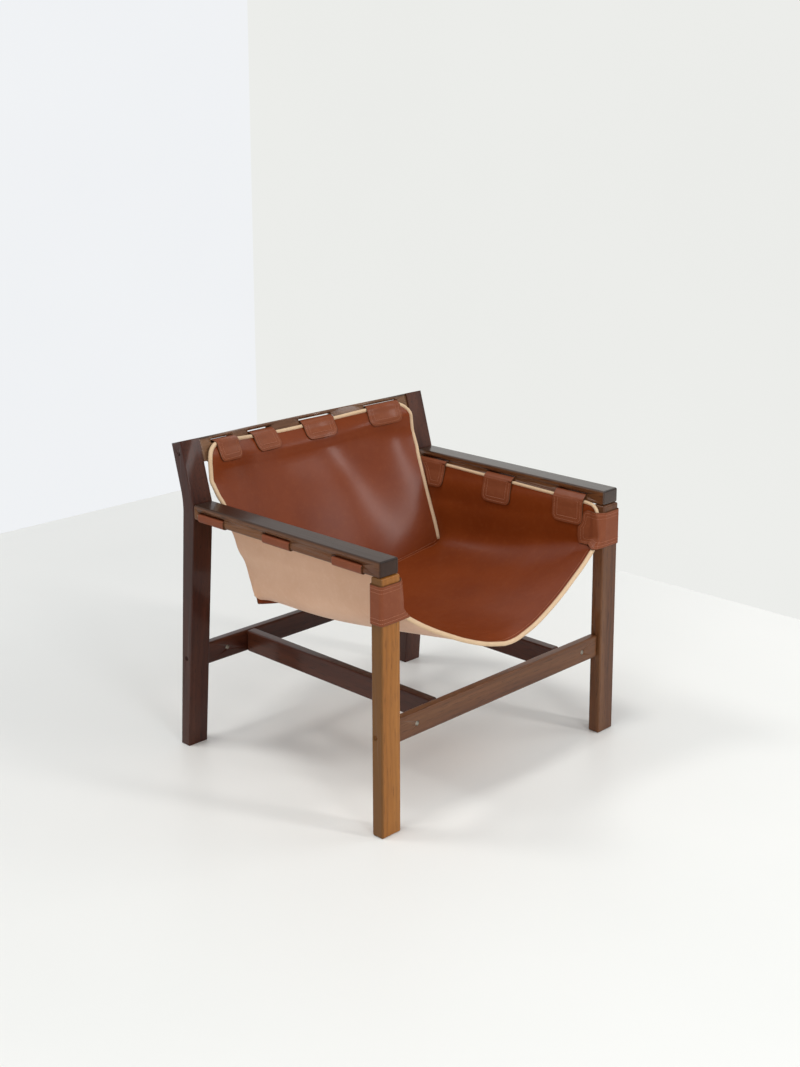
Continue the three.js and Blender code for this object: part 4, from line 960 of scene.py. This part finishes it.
# Back straps
# The same straps on the bowed rail, each square to the rail's face at its own place: tongue on the
# front of the back sheet, over its piping, through the rail's slot, down its rear face and in below it.
strap_half = 0.273 * back_half / 2
back_length, back_clear = 0.059, 0.0045 + strap_thickness / 2
rail_thickness, strap_return = 0.0195, 0.0516


def strap_frame(place):
    """A strap's direction back through the rail, and functions for the depth of the rail's face, or of one
    moved back from it, at distances across and for places. The depth comes from eight rounds of
    x = place + across / turn - slope * rise, with turn = 1 / sqrt(1 + slope^2)."""
    slope = (bow_at(place + 3e-4) - bow_at(place - 3e-4)) / 6e-4
    turn = 1 / np.hypot(1, slope)
    across = (np.array([1, 0, 0]) + rail_back * slope) * turn
    normal = (np.array([-slope, 0, 0]) + rail_back) * turn
    origin = rail_corner * np.array([0, 1, 1]) + np.array([place, 0, 0]) + bow_at(place) * rail_back

    def depth(distance, moved=0.0):
        share = distance - moved * slope * turn
        x = place + share * turn
        for _ in range(8):
            x = place + share / turn - (bow_at(x) - bow_at(place)) * slope
        return (bow_at(x) - bow_at(place) - (x - place) * slope + moved) * turn

    def point(distance, down, deep):
        distance, down, deep = np.broadcast_arrays(distance, down, deep)
        return origin + distance[..., None] * across + down[..., None] * rail_down + deep[..., None] * normal
    return normal, depth, point


def on_back(start, look):
    """Places and forward normals on the back sheet, met by looking along a direction."""
    shares = start[..., 0] / back_half, np.clip((start - rail_corner) @ rail_down / 0.4, 0.02, 0.9)
    return meet(back_at, start, look, shares, (-0.999, 0.001), (0.999, 0.95), 0.05, 1e-4)


for number, (share, slot_depth) in enumerate([(-0.7833, 0.0102), (-0.2782, 0.0118), (0.2782, 0.0118),
                                              (0.7833, 0.0102)], 1):
    normal, depth, point = strap_frame(share * back_half)
    side = stations * strap_half
    cord = point(side, 0, depth(side, -top_ahead))
    past = np.maximum(0, np.abs(cord[:, 0]) - back_half + corner_radius)
    drop = top_drop + top_sag_at(cord[:, 0]) + corner_radius - np.sqrt(corner_radius**2 - past**2)
    cord = cord + drop[:, None] * rail_down
    face = depth(side)
    reach = point(side, slot_depth, face) - cord
    angle = round_cord(reach @ normal, -(reach @ rail_down), back_clear, 12)
    ahead = np.cos(angle)[..., None] * normal - np.sin(angle)[..., None] * rail_down
    loop = cord[:, None] + back_clear * ahead
    rest = []
    for one, front, rear in zip(side, face, depth(side, rail_thickness) + under_wood + 0.0004):
        way = spaced(rounded_way([(front, slot_depth), (rear, slot_depth), (rear, strap_return),
                                  (front - 0.004, strap_return)], [0.0016, 0.0041]), 62)
        rest.append(point(one, way[:, 1], way[:, 0]))
    up = tongue_shares * (back_length - drop)[:, None]
    beside = stations[:, None] * tongue_width(2 * strap_half, up)
    here, forward = on_back(point(beside, back_length - up, 0), normal)
    tongue = here + forward * leaving(tongue_shares, back_clear)[None, :, None]
    name = f"back_strap_{number}"
    strap_mesh(name, np.concatenate([tongue, loop, np.array(rest)], 1))
    length = back_length - float(drop.mean())
    lines, lifts = [], []
    for inset in thread_insets:
        row = tongue_rows(2 * strap_half, length * threaded_share, inset)
        row_here, row_out = on_back(point(row[:, 0], back_length - row[:, 1], 0), normal)
        rise = leaving(row[:, 1] / length, back_clear) + strap_thickness / 2
        lines.append(row_here + row_out * rise[:, None])
        lifts.append(row_out)
    stitches(name + "_thread", lines, lifts)


# Leg bands
# A wide band round each front leg holds the seat's front corner: its tongue lies on the inside of the
# seat, and two thread rows run along its upper and lower edges and round the tongue.
def between_points(grid, row, column):
    """Places between a grid's own ones, by rows and columns that needn't be whole numbers."""
    low, first = (np.clip(way.astype(int), 0, size - 2) for way, size in zip((row, column), grid.shape))
    part, way = (row - low)[:, None], (column - first)[:, None]
    return blend(blend(grid[low, first], grid[low + 1, first], part),
                 blend(grid[low, first + 1], grid[low + 1, first + 1], part), way)


heights = np.linspace(0, 1, 41)
band_ends = np.interp(heights, [0, 0.05, 0.12, 0.25, 0.47, 0.53, 0.6, 0.7, 0.85, 0.93, 1],
                      [0.9, 0.96, 0.99, 1, 1, 0.94, 0.87, 0.815, 0.8, 0.75, 0.62])
band_tongue = 0.058
z = (band_low + band_height * heights)[:, None]
edge_reach = share_at_height(front_edge, z[:, 0])
edge = front_edge(edge_reach)
tangent = front_edge(np.minimum(edge_reach + 1e-3, 1)) - front_edge(edge_reach - 1e-3)
steep = np.abs(tangent[:, 2]) / np.linalg.norm(tangent, axis=1)
clear = (front_cord + 0.0006) / steep + strap_thickness / 2
shares = np.linspace(0, 0.97, 34)
y_end, y_start = leg_front + band_tongue * band_ends, edge[:, 1] + clear
y = y_start[:, None] + (y_end - y_start)[:, None] * (1 - shares)
here, inward = on_seat(y, np.broadcast_to(z, y.shape))
tongue = here + inward * leaving(shares, clear[:, None])[..., None]
band_x, band_y = (leg_inner - under_wood, 0.3516), (leg_front - under_wood, leg_front + 0.0291)
band_start = leg_inner + 0.004
angle = round_cord(band_start - edge[:, 0], edge[:, 1] - band_y[0], clear, 14)
loop = places(edge[:, :1] + clear[:, None] * np.cos(angle), edge[:, 1:2] - clear[:, None] * np.sin(angle), z)
way = spaced(rounded_way([(band_start, band_y[0]), (band_x[1], band_y[0]), (band_x[1], band_y[1]),
                          (band_x[0], band_y[1]), (band_x[0], leg_front + 0.0185)], [0.0056] * 3), 130)
band = np.concatenate([tongue, loop, places(way[:, 0], way[:, 1], z)], 1)
last, top = band.shape[1] - 1, len(heights) - 1
ways = [spaced(rounded_way([(last, top - inset), (end, top - inset), (end, inset), (last, inset)], [3, 3]),
               420) for inset, end in [(2.8, 5.7), (6.6, 10.6)]]
for side_name, side in [("left", -1), ("right", 1)]:
    grid = on_side(band, side)
    name = f"leg_band_{side_name}"
    strap_mesh(name, grid)
    out = normals_of(grid)
    stitches(name + "_thread", *([between_points(values, way[:, 1], way[:, 0]) for way in ways]
                                 for values in (grid + out * strap_thickness / 2, out)))


# Sheet stitching
# A thread row runs inside the seat's front edge from band to band, and a row on each side of the seam
# holds the two sheets together.
def thread_rows(grid, rows, columns):
    """A line on a sheet's grain side through rows and columns of its grid, and the normals along it."""
    out = normals_of(grid)
    return [between_points(values, rows, columns) for values in (grid + out * leather_thickness / 2, out)]


def columns_in(grid, rows, distance):
    """The grid's columns at a distance from its first one, or from its last one where it is below zero."""
    lengths = np.interp(rows, np.arange(len(grid)), distances_over(grid)[1][:, -1])
    last = grid.shape[1] - 1
    return distance / lengths * last if distance > 0 else last * (1 + distance / lengths)


half_rows = (len(seat_grid) - 1) / 2
reach = float(share_at_height(front_edge, band_low - 0.002))
first = half_rows * (0.5 + (reach - corner_end) / (1 - corner_end) / 2)
front_rows, seam_rows = np.linspace(first, 2 * half_rows - first, 500), np.linspace(62, 178, 400)
front_line = thread_rows(seat_grid, front_rows, columns_in(seat_grid, front_rows, 0.012))
seam_line = thread_rows(seat_grid, seam_rows, columns_in(seat_grid, seam_rows, -0.0045))
back_line = thread_rows(back_grid, np.linspace(3, 197, 400), np.full(400, 148.8))
stitches("seat_edge_thread", front_line[:1], front_line[1:])
stitches("seam_thread", *zip(seam_line, back_line))


def flat_size(grid):
    """The width and length that a sheet's cut fits in, and its area, measured along its middle surface."""
    away, beside = distances_over(grid)
    cells = np.cross(np.diff(grid, axis=0)[:, :-1], np.diff(grid, axis=1)[:-1])
    return {"flat": (float(away[-1].max()), float(beside[:, -1].max())),
            "area": float(np.linalg.norm(cells, axis=-1).sum())}


arm_straps = [f"arm_strap_{side}_{number}" for side in ("left", "right") for number in (1, 2, 3)]
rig.sheet(seat, held="hung", rests_on=arm_straps + ["leg_band_left", "leg_band_right"], **flat_size(seat_grid),
         with_pieces=["seat_piping_left_cord", "seat_piping_right_cord", "seat_piping_front_cord",
                      "seat_edge_thread"])
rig.sheet(back_piece, held="hung", rests_on=[f"back_strap_{number}" for number in (1, 2, 3, 4)] + [seat],
         **flat_size(back_grid), with_pieces=["back_piping_cord", "seam_thread"])

visual_box = [list(corner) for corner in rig.bounds()]
with open("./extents.json", "w") as sizes:
    json.dump({"cad": cad_box, "visual": visual_box}, sizes)
